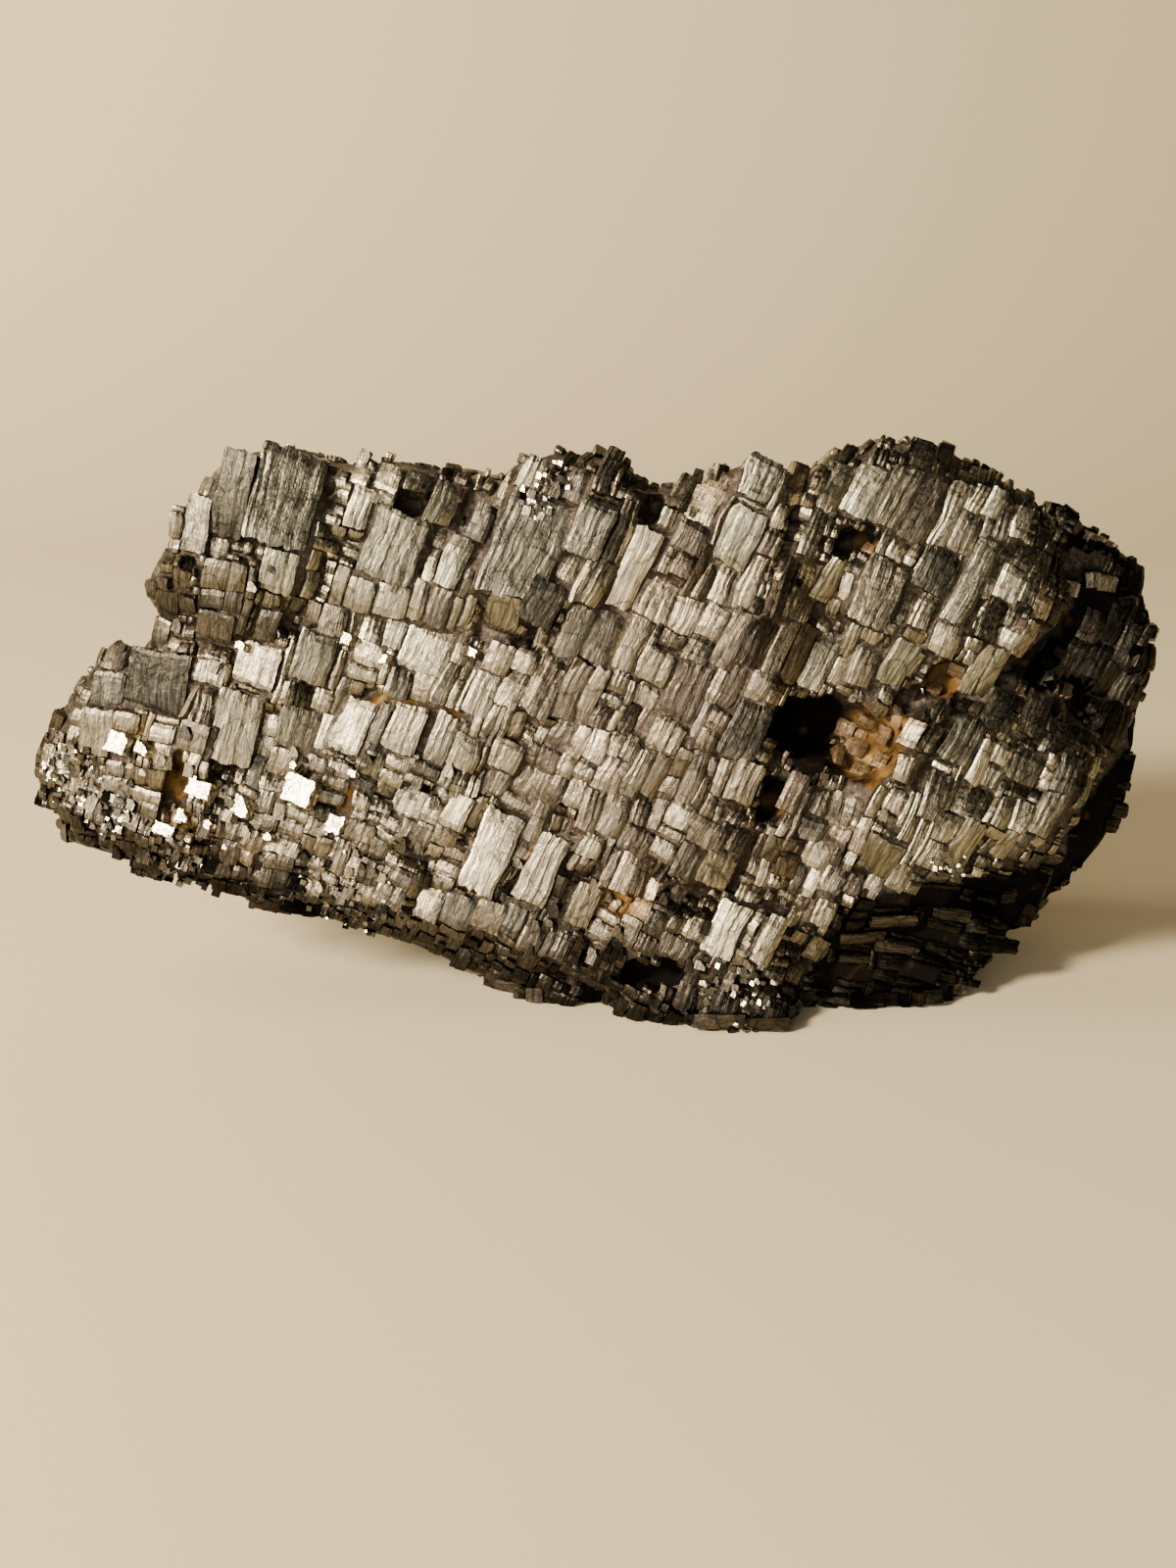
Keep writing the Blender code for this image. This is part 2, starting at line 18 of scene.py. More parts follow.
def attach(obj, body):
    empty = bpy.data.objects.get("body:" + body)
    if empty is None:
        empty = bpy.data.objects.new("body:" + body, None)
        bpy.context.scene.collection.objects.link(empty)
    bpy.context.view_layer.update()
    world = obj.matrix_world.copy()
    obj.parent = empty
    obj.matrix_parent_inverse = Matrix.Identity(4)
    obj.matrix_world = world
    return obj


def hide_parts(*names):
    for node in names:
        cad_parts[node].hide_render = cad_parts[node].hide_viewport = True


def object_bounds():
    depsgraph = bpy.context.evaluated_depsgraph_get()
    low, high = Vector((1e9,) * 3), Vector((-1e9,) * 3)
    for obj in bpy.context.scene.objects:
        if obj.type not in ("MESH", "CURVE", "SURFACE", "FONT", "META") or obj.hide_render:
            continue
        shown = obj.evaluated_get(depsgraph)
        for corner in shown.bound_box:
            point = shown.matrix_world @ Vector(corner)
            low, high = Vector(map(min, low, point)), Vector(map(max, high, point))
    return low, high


MM = 0.001
BODY = "root"
NODE = "pyrite_crystal_mass"

# Sizes are in millimetres. The front is drawn on a plane that leans back with the crystal face, as (x, z), and
# DRAWN_AT is where the drawing's own zero lies in the row frame.
DRAWN_AT = Vector((0.448, -9.29, 0.0))
LEAN = math.radians(14.0)
FACE_Z = 27.0

# Crystal lattice: rows fall to the right, and columns lean to the right, more so from the left to the centre.
ROW_FALL = math.radians(12.0)
COLUMN_LEAN_LEFT = math.radians(12.0)
COLUMN_LEAN_CENTRE = math.radians(25.0)
LEAN_GROWS_FROM = -48.0
LEAN_GROWS_OVER = 42.0

# The camera: a long-side sensor of 36 mm, and the lens, height and downward tilt that the perspective gives.
EYE = Vector((-1.4, -154.2, 73.6)) + DRAWN_AT
LENS = 39.375
TILT_DOWN = math.radians(18.6)
KEY_AT = Vector((-430.0, -330.0, 330.0))

# Seeds: the looks' own, and the one that splits the solid into its blocks, which the crystals follow.
SEED = 2207
SOLID_SEED = 4117

# Splitting: how many times its zone's size a block may keep, where a cut goes, and how freely it turns.
SOLID_LEAST = 1.15
MOST = 1.7
CUT = (0.36, 0.64)
TURN = (0.75, 1.3)

# Sounding: where it starts, the share of a cell left out along its edges, how far below the median a hole starts,
# and the cell size that needs a closer look.
REACH = 80.0
MARGIN = 0.06
HOLE_DEPTH = 1.1
LARGE_CELL = 2.4

# Blocks: half the open joint between two, the depth of their roots, the most that one leans with the solid under
# it, and the slopes past which none is laid.
GAP = 0.03
BLOCK_DEPTH = 1.5
MOST_LEAN = 0.75
STEEP_SIDE, STEEP, STEEP_BIG, ANY_SLOPE = 1.2, 1.4, 3.0, 9.0

# Open joint round a crystal that stands out: wide from this width of crystal on, narrow below it.
WIDE_JOINT, NARROW_JOINT, WIDE_FROM = 0.13, 0.05, 2.8

# How far the crystals stand out of the solid: those that stand out, the flank's ledges, and the mean and spread of
# the smaller ones and of the other sides' ones.
BIG_LIFT, BAR_LIFT, SMALL_LIFT, SIDE_LIFT = 0.15, 0.35, (0.05, 0.11), (-0.1, 0.06)

# How tone and hue vary from one crystal to the next, on the front and on the other sides, and how far it is turned.
SPREAD, SIDE_SPREAD, WOBBLE = (0.11, 0.11), (0.1, 0.2), 0.035

# Cells down to this size are split where the solid under them has a step of this height: the front, other sides.
FRONT_STEP = (1.5, 0.9)
SIDE_STEP = (2.2, 1.3)

# Groundmass: the grain of its mesh, how far it is sunk under the crystals, and how rough it is.
VOXEL = 0.48
SUNK = 0.36
ROUGH = 0.10

# Finishes of the crystals: tone (0 black to 1 bright), hue (0 green-grey, 0.5 khaki, 1 rose-brown), and how far
# one is turned to throw the light to the eye or, below zero, away from it.
FINISHES = {
    "slate": (0.15, 0.20, -0.2),
    "steel": (0.50, 0.12, -0.04),
    "dark": (0.36, 0.30, -0.1),
    "green": (0.58, 0.16, 0.0),
    "khaki": (0.60, 0.50, 0.0),
    "rose": (0.46, 0.90, 0.0),
    "straw": (0.66, 0.50, 0.14),
    "pale": (0.74, 0.50, 0.34),
}

# Crystals that stand out on the front: (x, z) of the centre, width across the column, length along it.
CRYSTALS = {
    "slate": [(-34.2, 48.2, 3.8, 8.4), (-42, 31.6, 6.4, 6), (-11.4, 45.9, 2.2, 3.8)],
    "steel": [(-7.2, 43.4, 6.2, 10.6), (-1.2, 45, 3.8, 5.2), (33.6, 26.2, 3.6, 5), (39.6, 23.8, 3.2, 3.4)],
    # The dark crystals at (-36.2, 36.4), (-31.4, 36.6) and (-38.8, 38.4), on the ledge row, are painted shade under
    # the upper left lobe.
    "dark": [
        (-36.2, 36.4, 4, 3.2), (-31.4, 36.6, 2.2, 3.2), (-5.8, 38.6, 3.8, 4.6), (-38.8, 38.4, 1.8, 2),
        (13.3, 27, 3.8, 6), (-37.6, 45.6, 2.6, 5.6),
    ],
    "green": [
        (-29.3, 48, 6.4, 9.6), (-19.4, 43.6, 5.6, 7), (-13.8, 42.2, 2.4, 5), (-14.9, 47.6, 2.8, 4.2),
        (20.8, 40.6, 1.9, 4.6), (-9.4, 37.6, 3.4, 4.4), (27.7, 33, 2.6, 5), (36.8, 29, 2.4, 4.2),
        (-27.2, 33.6, 3.8, 5), (34.2, 40.4, 2.6, 8.6), (24, 48.4, 2.8, 5), (14.4, 49.6, 3.4, 4.4),
        (12.6, 44.4, 3.6, 5.6), (26, 15.6, 3.8, 4),
    ],
    "khaki": [
        (25.4, 39.4, 4.4, 6.4), (4.9, 32.8, 3.4, 3.6), (-13, 25, 3.2, 3.6), (-9.2, 24.6, 3.2, 3.2),
        (24.2, 32.6, 3, 4), (13.2, 22.4, 3, 4.4), (31, 21, 2.4, 4.8), (40.6, 28.4, 2.6, 4.4),
        (-1.8, 10.9, 2.4, 4.4), (-32.4, 33, 4.4, 4.4), (-23.6, 27.4, 3.6, 5.6),
    ],
    "rose": [(5.9, 26.6, 3.4, 3.6), (18, 21.4, 2.2, 4), (17.3, 14.5, 2.4, 2.4)],
    "straw": [
        (-34.6, 27.2, 4.6, 7), (-18.6, 27.2, 3.6, 5), (-5.8, 14.2, 3.4, 7.2), (-1.2, 16.4, 2.4, 2.4),
        (28.6, 26.8, 2, 2.8), (27.9, 23.6, 1.9, 2.6), (27.2, 20.7, 1.9, 2.3), (17.9, 49, 1.9, 4.6),
        (20.8, 10.2, 2, 2.8), (31.8, 35.2, 3, 3), (43.4, 32.6, 1.6, 4), (-41.3, 26.8, 2.6, 1.8),
    ],
    "pale": [(15.6, 7.8, 2, 5), (11.6, 8.8, 3.6, 5.6), (-10.6, 15.8, 4, 8.4), (2.8, 41.6, 3, 8.4)],
}

# Fresh cleavage faces that flash white: (x, z) of the centre, width, length.
BRIGHT_FACES = [
    (-45.4, 25.7, 2.3, 2), (-42.9, 25.3, 1.4, 1.4), (-28.4, 21.4, 3.1, 3), (-37.6, 21.7, 2.8, 1.6),
    (-34, 20, 2.1, 2), (-39.5, 19.1, 1.2, 1.2), (-41.2, 17.9, 2.3, 1.2), (-25.1, 18.3, 1.8, 1.8),
    (-23.8, 35.2, 1.1, 1.1), (-20.2, 33.5, 0.8, 0.8), (-33.6, 34.6, 1.2, 0.9), (-12, 34, 0.9, 0.9),
    (-36.9, 18.4, 0.9, 0.8), (-31.4, 17.2, 0.8, 0.7), (-29, 23.6, 0.8, 0.8), (-23.4, 22.8, 0.9, 0.7),
]

# Broad changes of finish over the front: (x, z), radius, tone, hue. The dark patches at (-36, 36.8) under the ledge,
# at (2, 4) and (-38, 14.5) on the undercut lower rim and at (47, 38) on the mass set back in the lobe's shadow are
# painted shade.
PATCHES = [
    (-33, 45, 8, 0.6, 0.2), (-20, 43, 6, 0.68, 0.3), (-5, 43, 7, 0.6, 0.3),
    (-44, 40, 5, 0.44, 0.3), (-36, 36.8, 4.5, 0.18, 0.6), (3, 34, 10, 0.38, 0.7),
    (-30, 29, 9, 0.56, 0.35), (-38, 22, 8, 0.66, 0.6), (-14, 25, 8, 0.54, 0.5),
    (-9, 14, 6, 0.5, 0.6), (31, 43, 10, 0.64, 0.35), (36, 24, 8, 0.66, 0.3),
    (24, 35, 6, 0.6, 0.5), (2, 4, 9, 0.2, 0.6), (-38, 14.5, 7, 0.22, 0.6),
    (47, 38, 6, 0.2, 0.5), (13, 8, 5, 0.66, 0.5), (12, 22, 8, 0.41, 0.7),
    (-50, 22, 5, 0.42, 0.5), (8, 46, 7, 0.54, 0.6), (-19.6, 34.6, 2.8, 0.9, 0.5),
    (1.9, 11.4, 2.6, 0.6, 1),
]

# Limonite, the iron rust that fills hollows and joints of the front: (x, z), radius, strength.
RUST = [
    (24.8, 25.4, 3.4, 1.3), (27.2, 27.8, 2, 0.9), (24.2, 43.8, 1.4, 0.6), (32.4, 31.4, 2, 0.8),
    (1.9, 11.6, 2.4, 1), (3.4, 16.6, 3, 0.32), (-43.4, 27, 2, 0.6), (-40.7, 22.6, 2.6, 0.7),
    (-24.8, 20.6, 1.8, 0.6), (-17, 47, 1.5, 0.35), (-21, 30.2, 2, 0.45), (-17.4, 29.3, 2, 0.5),
    (-13.8, 28.4, 2, 0.45), (16.6, 20.4, 2, 0.5), (-40, 18.8, 2, 0.9), (16, 14, 2.2, 0.4),
    (-30, 39.4, 2, 0.3),
]

# Where the crystal face ends and the flank below and behind it starts, from the foot to the right rim. The flank
# is painted dark as shade.
FLANK_EDGE = [(19.5, 3), (21.4, 10.4), (26.8, 12), (35.6, 13.7), (43.4, 14.8), (44.4, 18), (46.8, 22.2),
              (50.4, 26.5)]

# Where the right rim starts, and the shares of the flank's small crystals left out before it and past it.
RIM_FROM, FEW_OUT, MOST_OUT = 41, 0.2, 0.85

# Painted shade: the share of its tone that a crystal keeps on the flank and on the mass set back at the right, in
# the right top lobe's shadow, how much of it the broken lower rim takes, and over what height that sets in.
FLANK_TONE, SET_BACK_TONE, RIM_DARKENS, RIM_SETS_IN = 0.16, 0.5, 0.78, 0.7

# Ledges of the flank, left out of its painted shade, that catch some light: (x, z) of the middle, length along the
# row, height.
FLANK_BARS = [(28, 9, 5, 1.5), (25, 7.6, 4.6, 1.3), (28.5, 6.4, 4.8, 1.5), (24.2, 5.6, 3, 1),
              (34, 9.4, 4, 1.2), (31.6, 5.2, 3.4, 1.1)]

# Hollows that stay bare of crystals, and show dark or rusty groundmass: (x, z), half width, half height.
BARE = [
    (19.2, 27.5, 3.4, 2.7), (20, 24.8, 2.3, 2), (23.4, 44, 2.2, 1.3), (32.3, 31.6, 2, 1.8),
    (29.2, 29.8, 1.5, 1), (15.9, 20.6, 1.2, 2.2), (-17.6, 48, 1, 1.2), (4.6, 4.6, 3.2, 1.2),
    (4.6, 47, 0.9, 1.5), (-11.2, 48.6, 0.5, 1.4), (42.4, 33.2, 1.9, 3.2), (-40.6, 22.4, 1.1, 3),
    (-24.8, 20.8, 0.9, 1.4),
]

# Hollows whose floor lies in shade, painted black on the groundmass: (x, z), half width, half height.
BLACK = [(19.2, 27.5, 3.6, 3), (20, 24.8, 2.3, 2), (15.9, 20.6, 1.4, 2.4), (4.6, 4.6, 3.4, 1.4)]

# Open cracks along the rows: (x, z) of the middle, length, height.
CRACKS = [(-17.4, 29.3, 11, 0.5)]

# The gap between the right top lobe and the mass set back behind it, in the lobe's shadow, which is painted black
# on the groundmass, as an outline of (x, z).
GAP_OUTLINE = [(37.4, 32.2), (41.4, 35.6), (44, 38.2), (44.6, 42.4), (48, 42.6), (50, 40), (48.6, 37.2),
               (45.8, 36.8), (44, 33.4), (42, 30.6)]

# Small crystals on the rusty floor of the big hollow: (x, z) of the centre, width, length.
HOLLOW_CRYSTALS = [
    (23.4, 26.9, 1.8, 1.9), (25.2, 27.4, 1.6, 1.6), (26.9, 26.4, 1.4, 2.2), (24.3, 25.1, 2.2, 1.6),
    (26.5, 24.2, 1.7, 1.8), (24.6, 23.4, 1.9, 1.5), (22.8, 24.6, 1.1, 1.9), (31.6, 30.8, 1.3, 1.2),
    (33.3, 32.4, 1.6, 1.4), (24.6, 43.4, 1.4, 1.2),
]
HOLLOW_FINISH, HOLLOW_RUST = (0.45, 0.88), 0.7

# Fields of druse, tiny cubes grown over the face: (x, z), radius, cubes for each square millimetre, and the share
# of them that sparkle.
DRUSE = [
    (-50.6, 22.8, 3.2, 5, 0.42), (-47, 19, 2.4, 3, 0.25), (-6.2, 47.6, 1.6, 4.5, 0.6),
    (-4.4, 49.6, 1.5, 4.5, 0.6), (32.6, 14.7, 1.8, 2.5, 0.3), (13, 3, 4, 1, 0.25),
    (-41, 14.6, 3, 1.2, 0.2), (-24, 11, 5, 0.6, 0.2), (-38, 19, 4, 0.5, 0.15),
]
DRUSE_TONES = (0.15, 0.2, 0.3, 0.4, 0.5, 0.6)
CHIPS = 140

# Kinds of block: up to this width in millimetres, how many lamellae across and how many breaks along.
BLOCK_KINDS = [(1.7, 5, 3), (3.1, 7, 4), (5.2, 11, 7), (99.0, 17, 10)]
FORMS_OF_A_KIND = 5

# Druse cubes: how far one corner is blunted.
BLUNT = {"cube": 0.0, "cube_blunt": 0.35, "cube_blunter": 0.6}

# How each kind of form grows: how far it may tilt, and the height of its striae, joint waves and chipped edges.
BLOCKS = {"Roll": 0.045, "Sway": 0.02, "Striation": 0.04 * MM, "Waviness": 1.1 * MM, "Chipping": 0.22 * MM}
CUBES = {"Roll": 0.15, "Sway": 0.15, "Striation": 0.0, "Waviness": 0.0, "Chipping": 0.05 * MM}
MIRRORS = {"Roll": 0.0, "Sway": 0.0, "Striation": 0.02 * MM, "Waviness": 0.8 * MM, "Chipping": 0.55 * MM}

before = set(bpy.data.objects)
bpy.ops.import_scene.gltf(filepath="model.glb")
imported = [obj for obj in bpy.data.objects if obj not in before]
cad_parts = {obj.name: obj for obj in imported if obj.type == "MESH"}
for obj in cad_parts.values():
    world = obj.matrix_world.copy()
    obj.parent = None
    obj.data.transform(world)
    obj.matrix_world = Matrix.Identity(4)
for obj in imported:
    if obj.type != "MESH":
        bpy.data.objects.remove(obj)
CAD_LOW, CAD_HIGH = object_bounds()


MATH, VECTOR_MATH, NOISE, MIX, RANGE = (
    "ShaderNode" + kind for kind in ("Math", "VectorMath", "TexNoise", "Mix", "MapRange"))


def feed(made, links):
    """Sets or links a node's inputs. A node given as a value stands for the first of its outputs in use."""
    for socket, value in links.items():
        if isinstance(value, bpy.types.Node):
            value = next(output for output in value.outputs if output.enabled)
        if isinstance(value, bpy.types.NodeSocket):
            made.id_data.links.new(value, made.inputs[socket])
        else:
            made.inputs[socket].default_value = value


def node(tree, kind, links=None, **settings):
    """Adds a node to a tree, with its settings and its links."""
    made = tree.nodes.new(kind)
    for name, value in settings.items():
        setattr(made, name, value)
    feed(made, links or {})
    return made


def linear(code):
    """An sRGB hex colour as a linear RGBA colour."""
    channels = [int(code[k:k + 2], 16) / 255 for k in (0, 2, 4)]
    return [c / 12.92 if c <= 0.04045 else ((c + 0.055) / 1.055) ** 2.4 for c in channels] + [1.0]


def placed(name, data):
    """A new object in the scene."""
    made = bpy.data.objects.new(name, data)
    bpy.context.scene.collection.objects.link(made)
    return made


def applied(made):
    """Turns what an object's modifiers make of it into its own mesh."""
    graph = bpy.context.evaluated_depsgraph_get()
    mesh = bpy.data.meshes.new_from_object(made.evaluated_get(graph))
    made.modifiers.clear()
    made.data = mesh
    return mesh


class Side:
    """One direction the mass is seen from: an origin, two axes in its plane, and the way out."""

    def __init__(self, origin, across, out, fan=0):
        self.origin = Vector(origin) + DRAWN_AT
        self.out = Vector(out).normalized()
        self.across = Vector(across).normalized()
        self.along = self.out.cross(self.across)
        self.fan = fan

    def place(self, p, q, rise):
        return self.origin + self.across * p + self.along * q + self.out * rise


ROW = (math.cos(ROW_FALL), 0, -math.sin(ROW_FALL))
COLUMN = (math.sin(ROW_FALL), 0, math.cos(ROW_FALL))
MIDDLE = (0, 10, FACE_Z)
FRONT = Side((0, 0, FACE_Z), (1, 0, 0), (0, -math.cos(LEAN), math.sin(LEAN)), fan=1)
BACK = Side(MIDDLE, (-1, 0, 0), (0, 1, 0), fan=-1)
TOP = Side(MIDDLE, ROW, COLUMN)
UNDERSIDE = Side(MIDDLE, (0, 1, 0), [-c for c in COLUMN])
RIGHT = Side(MIDDLE, (0, 1, 0), ROW)
LEFT = Side(MIDDLE, (0, -1, 0), [-c for c in ROW])


def face_height(z):
    """Distance up the leaning plane of a point at world height z."""
    return (z - FACE_Z) / math.cos(LEAN)


def world_height(q):
    """World height of a point at distance q up the leaning plane."""
    return FACE_Z + q * math.cos(LEAN)


def lattice(side, u, v):
    """Lattice place (u along the rows, v up the columns) as (p, q) in the side's plane."""
    if not side.fan:
        return u, v
    u *= side.fan
    t = min(1.0, max(0.0, (u - LEAN_GROWS_FROM) / LEAN_GROWS_OVER))
    lean = COLUMN_LEAN_LEFT + (COLUMN_LEAN_CENTRE - COLUMN_LEAN_LEFT) * t * t * (3 - 2 * t)
    p = u * math.cos(ROW_FALL) + v * math.sin(lean)
    return p * side.fan, -u * math.sin(ROW_FALL) + v * math.cos(lean)


def room(x, z, width, length):
    """The lattice room of a form drawn at (x, z): its middle, found by a few steps, and half its size."""
    u, v = x, face_height(z)
    for _ in range(12):
        p, q = lattice(FRONT, u, v)
        u += x - p
        v += face_height(z) - q
    return u, v, width / 2, length / 2


def cell_in(own, joint=0.0):
    """The lattice cell (u0, u1, v0, v1) of a room, less an open joint all round."""
    u, v, half_width, half_length = own
    return u - half_width + joint, u + half_width - joint, v - half_length + joint, v + half_length - joint


def middle(cell):
    return (cell[0] + cell[1]) / 2, (cell[2] + cell[3]) / 2


CRYSTAL_ROOMS = [room(*crystal) for crystals in (*CRYSTALS.values(), BRIGHT_FACES) for crystal in crystals]


def drawn_place(point):
    """Where the eye sees a point (mm) on the front drawing, as (x, z)."""
    sight = point - EYE
    reach = (FRONT.origin - EYE).dot(FRONT.out) / sight.dot(FRONT.out)
    seen = EYE + sight * reach - DRAWN_AT
    return seen.x, seen.z


def merged_solid():
    """A copy of the CAD solid with its loose triangles merged."""
    bm = bmesh.new()
    bm.from_mesh(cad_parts[NODE].data)
    bmesh.ops.remove_doubles(bm, verts=bm.verts[:], dist=1e-7)
    return bm


SOLID = merged_solid()
SURFACE = BVHTree.FromBMesh(SOLID)


def look_down(side, p, q):
    """(rise, normal) of the solid under (p, q) of a side, or None past its edge."""
    place, normal, _, away = SURFACE.ray_cast(side.place(p, q, REACH) * MM, -side.out)
    return None if place is None else (REACH - away / MM, normal)


# What each form is grown with: the kind of attribute, and its columns in a row of a Growth.
CARRIED = {
    "facing": ("FLOAT_VECTOR", slice(3, 6)), "column": ("FLOAT_VECTOR", slice(6, 9)),
    "size": ("FLOAT_VECTOR", slice(9, 12)), "tone": ("FLOAT", 12), "hue": ("FLOAT", 13), "rust": ("FLOAT", 14),
    "form": ("INT", 15),
}


class Growth:
    """Where the small forms of one kind grow, gathered until Geometry Nodes make them."""

    def __init__(self):
        self.rows = []

    def add(self, place, facing, column, size, tone, hue, rust, form):
        self.rows.append((*place, *facing, *column, *size, tone, hue, rust, form))

    def points(self, name):
        """A mesh of bare points that carries every row as attributes."""
        table = np.array(self.rows, dtype=np.float64)
        mesh = bpy.data.meshes.new(name)
        mesh.vertices.add(len(table))
        mesh.vertices.foreach_set("co", (table[:, 0:3] * MM).astype(np.float32).ravel())
        table[:, CARRIED["size"][1]] *= MM
        for label, (kind, columns) in CARRIED.items():
            values = table[:, columns].astype(np.int32 if kind == "INT" else np.float32)
            layer = mesh.attributes.new(label, kind, "POINT")
            layer.data.foreach_set("vector" if kind == "FLOAT_VECTOR" else "value", values.ravel())
        return placed(name, mesh)


def patch_finish(x, z):
    """Tone and hue of the front at (x, z): middling, or those of the broad patches near it."""
    weights = 0.15
    tone = hue = weights * 0.5
    for px, pz, radius, patch_tone, patch_hue in PATCHES:
        near = math.exp(-((x - px) ** 2 + (z - pz) ** 2) / (radius * radius))
        weights += near
        tone += near * patch_tone
        hue += near * patch_hue
    return tone / weights, hue / weights


def rust_at(x, z, point):
    """How rusty the front is at (x, z), broken up by noise."""
    most = 0.0
    for rx, rz, radius, strength in RUST:
        most = max(most, strength * (1.25 - math.hypot(x - rx, z - rz) / radius))
    return min(1.0, max(0.0, most + noise.noise(point * 0.9) * 0.45))


def within(hollows, x, z):
    """Whether (x, z) lies in one of the oval hollows."""
    return any(((x - hx) / hw) ** 2 + ((z - hz) / hh) ** 2 < 1 for hx, hz, hw, hh in hollows)


def in_gap(x, z):
    """Whether (x, z) lies in the black gap's outline."""
    crossings = 0
    for (xa, za), (xb, zb) in zip(GAP_OUTLINE, GAP_OUTLINE[1:] + GAP_OUTLINE[:1]):
        if (za > z) != (zb > z) and x < xa + (xb - xa) * (z - za) / (zb - za):
            crossings += 1
    return crossings % 2 == 1


def on_flank(x, z):
    """Whether (x, z) of the front lies past the edge of the crystal face, on the lower right flank."""
    if x < FLANK_EDGE[0][0] or z > FLANK_EDGE[-1][1]:
        return False
    for (xa, za), (xb, zb) in zip(FLANK_EDGE, FLANK_EDGE[1:]):
        if xa <= x < xb:
            return z < za + (zb - za) * (x - xa) / (xb - xa)
    return True


def on_big_crystal(x, z):
    """Whether (x, z) lies on one of the crystals that stand out."""
    u, v, _, _ = room(x, z, 0, 0)
    return any(abs(u - ru) < hw and abs(v - rv) < hl for ru, rv, hw, hl in CRYSTAL_ROOMS)


def lower_edge(x):
    """Height at which the broken lower rim of the front starts, falling from the left tip to the foot."""
    return 17.6 - 0.31 * (x + 46) if x < -8 else 5.8 - 0.04 * (x + 8)


def with_painted_shade(point, tone):
    """Tone of a crystal, lowered as painted shade on the broken lower rim, the flank and the mass set back at the
    right.
    """
    x, z = drawn_place(point)
    if on_flank(x, z):
        return tone * FLANK_TONE
    if x > 43.5 and z > 27:
        return tone * SET_BACK_TONE
    dark = 1 / (1 + math.exp((z - lower_edge(x)) / RIM_SETS_IN))
    return tone * (1 - RIM_DARKENS * dark)


def toward_light(point):
    """The facing that throws the key light straight to the eye."""
    return ((EYE - point).normalized() + (KEY_AT - point).normalized()).normalized()


def scatter(rng, spread):
    """A small random change of direction."""
    return Vector([rng.gauss(0, spread) for _ in range(3)])


def laid_flat(column, facing):
    """A column's direction, turned into the plane of a face."""
    return (column - facing * column.dot(facing)).normalized()


def even(width, length):
    """One size of block for a whole side."""
    return lambda u, v: (width, length)


def solid_front_size(u, v):
    """Width and length of the solid's own blocks on the front, by zone."""
    x, q = lattice(FRONT, u, v)
    z = world_height(q)
    if x < -14:
        return (3.2, 3.2) if z < 24 else (3.9, 4.6)
    return (3.6, 3.8) if z < 14 else (3.4, 5.6)


def front_size(u, v):
    """Width and length of the front's smaller crystals, by zone."""
    x, q = lattice(FRONT, u, v)
    z = world_height(q)
    if on_flank(x, z):
        return 4.4, 1.5
    if x < -8 and z < lower_edge(x) + 1.4:
        return 1.5, 1.3
    if x < -14 and z < 24:
        return 2.4, 2.1
    if z < 12:
        return 2.2, 2.5
    if x < -12:
        return 3.0, 3.3
    return (2.4, 3.4) if z < 30 else (2.5, 4.8)


def no_step(cell):
    return False


def split(cell, seed, size, must_split=no_step, least=1.0):
    """Splits a lattice cell (u0, u1, v0, v1) across, again and again, to its zone's size or past a step."""
    u0, u1, v0, v1 = cell
    rng = random.Random(seed)
    width, length = size(*middle(cell))
    wide, long = (u1 - u0) / width, (v1 - v0) / length
    if max(wide, long) < rng.uniform(least, MOST) and not must_split(cell):
        yield cell, seed
        return
    cut = rng.uniform(*CUT)
    if wide * rng.uniform(*TURN) > long:
        at = u0 + (u1 - u0) * cut
        halves = (u0, at, v0, v1), (at, u1, v0, v1)
    else:
        at = v0 + (v1 - v0) * cut
        halves = (u0, u1, v0, at), (u0, u1, at, v1)
    for n, half in enumerate(halves):
        yield from split(half, seed * 2 + 1 + n, size, must_split, least)


def around(cell, rooms, least=0.55):
    """The parts of a lattice cell that lie outside the rooms of the crystals that stand out, slivers left out."""
    u0, u1, v0, v1 = cell
    for ru, rv, hw, hl in rooms:
        if u0 < ru + hw and u1 > ru - hw and v0 < rv + hl and v1 > rv - hl:
            inner = max(u0, ru - hw), min(u1, ru + hw)
            for part in ((u0, ru - hw, v0, v1), (ru + hw, u1, v0, v1), (*inner, v0, rv - hl), (*inner, rv + hl, v1)):
                if part[1] - part[0] > least and part[3] - part[2] > least:
                    yield from around(part, rooms, least)
            return
    yield cell


def sounded(side, cell, count):
    """The solid under a lattice cell, sounded at a grid of places: rows of (u, v, p, q, rise)."""
    u0, u1, v0, v1 = cell
    shares = [MARGIN + (1 - 2 * MARGIN) * k / (count - 1) for k in range(count)]
    table = []
    for a in shares:
        for b in shares:
            u, v = u0 + (u1 - u0) * a, v0 + (v1 - v0) * b
            p, q = lattice(side, u, v)
            hit = look_down(side, p, q)
            if hit:
                table.append((u, v, p, q, hit[0]))
    return np.array(table)


def fitted_plane(table):
    """The plane rise = a p + b q + c through the sounded places, holes left out, and each place's rise over it."""
    kept = table[table[:, 4] > np.median(table[:, 4]) - HOLE_DEPTH]
    spread = np.column_stack((kept[:, 2], kept[:, 3], np.ones(len(kept))))
    plane = np.linalg.lstsq(spread, kept[:, 4], rcond=None)[0]
    return plane, kept[:, 4] - spread @ plane


def step_finder(side, smallest, step):
    """A test that tells whether a cell lies across a step or a hole of the solid."""
    def across_a_step(cell):
        u0, u1, v0, v1 = cell
        if max(u1 - u0, v1 - v0) < smallest:
            return False
        table = sounded(side, cell, 3)
        if len(table) < 5:
            return len(table) > 0
        return table[:, 4].ptp() > step and fitted_plane(table)[1].ptp() > step * 0.7 \
            or table[:, 4].min() < np.median(table[:, 4]) - HOLE_DEPTH
    return across_a_step


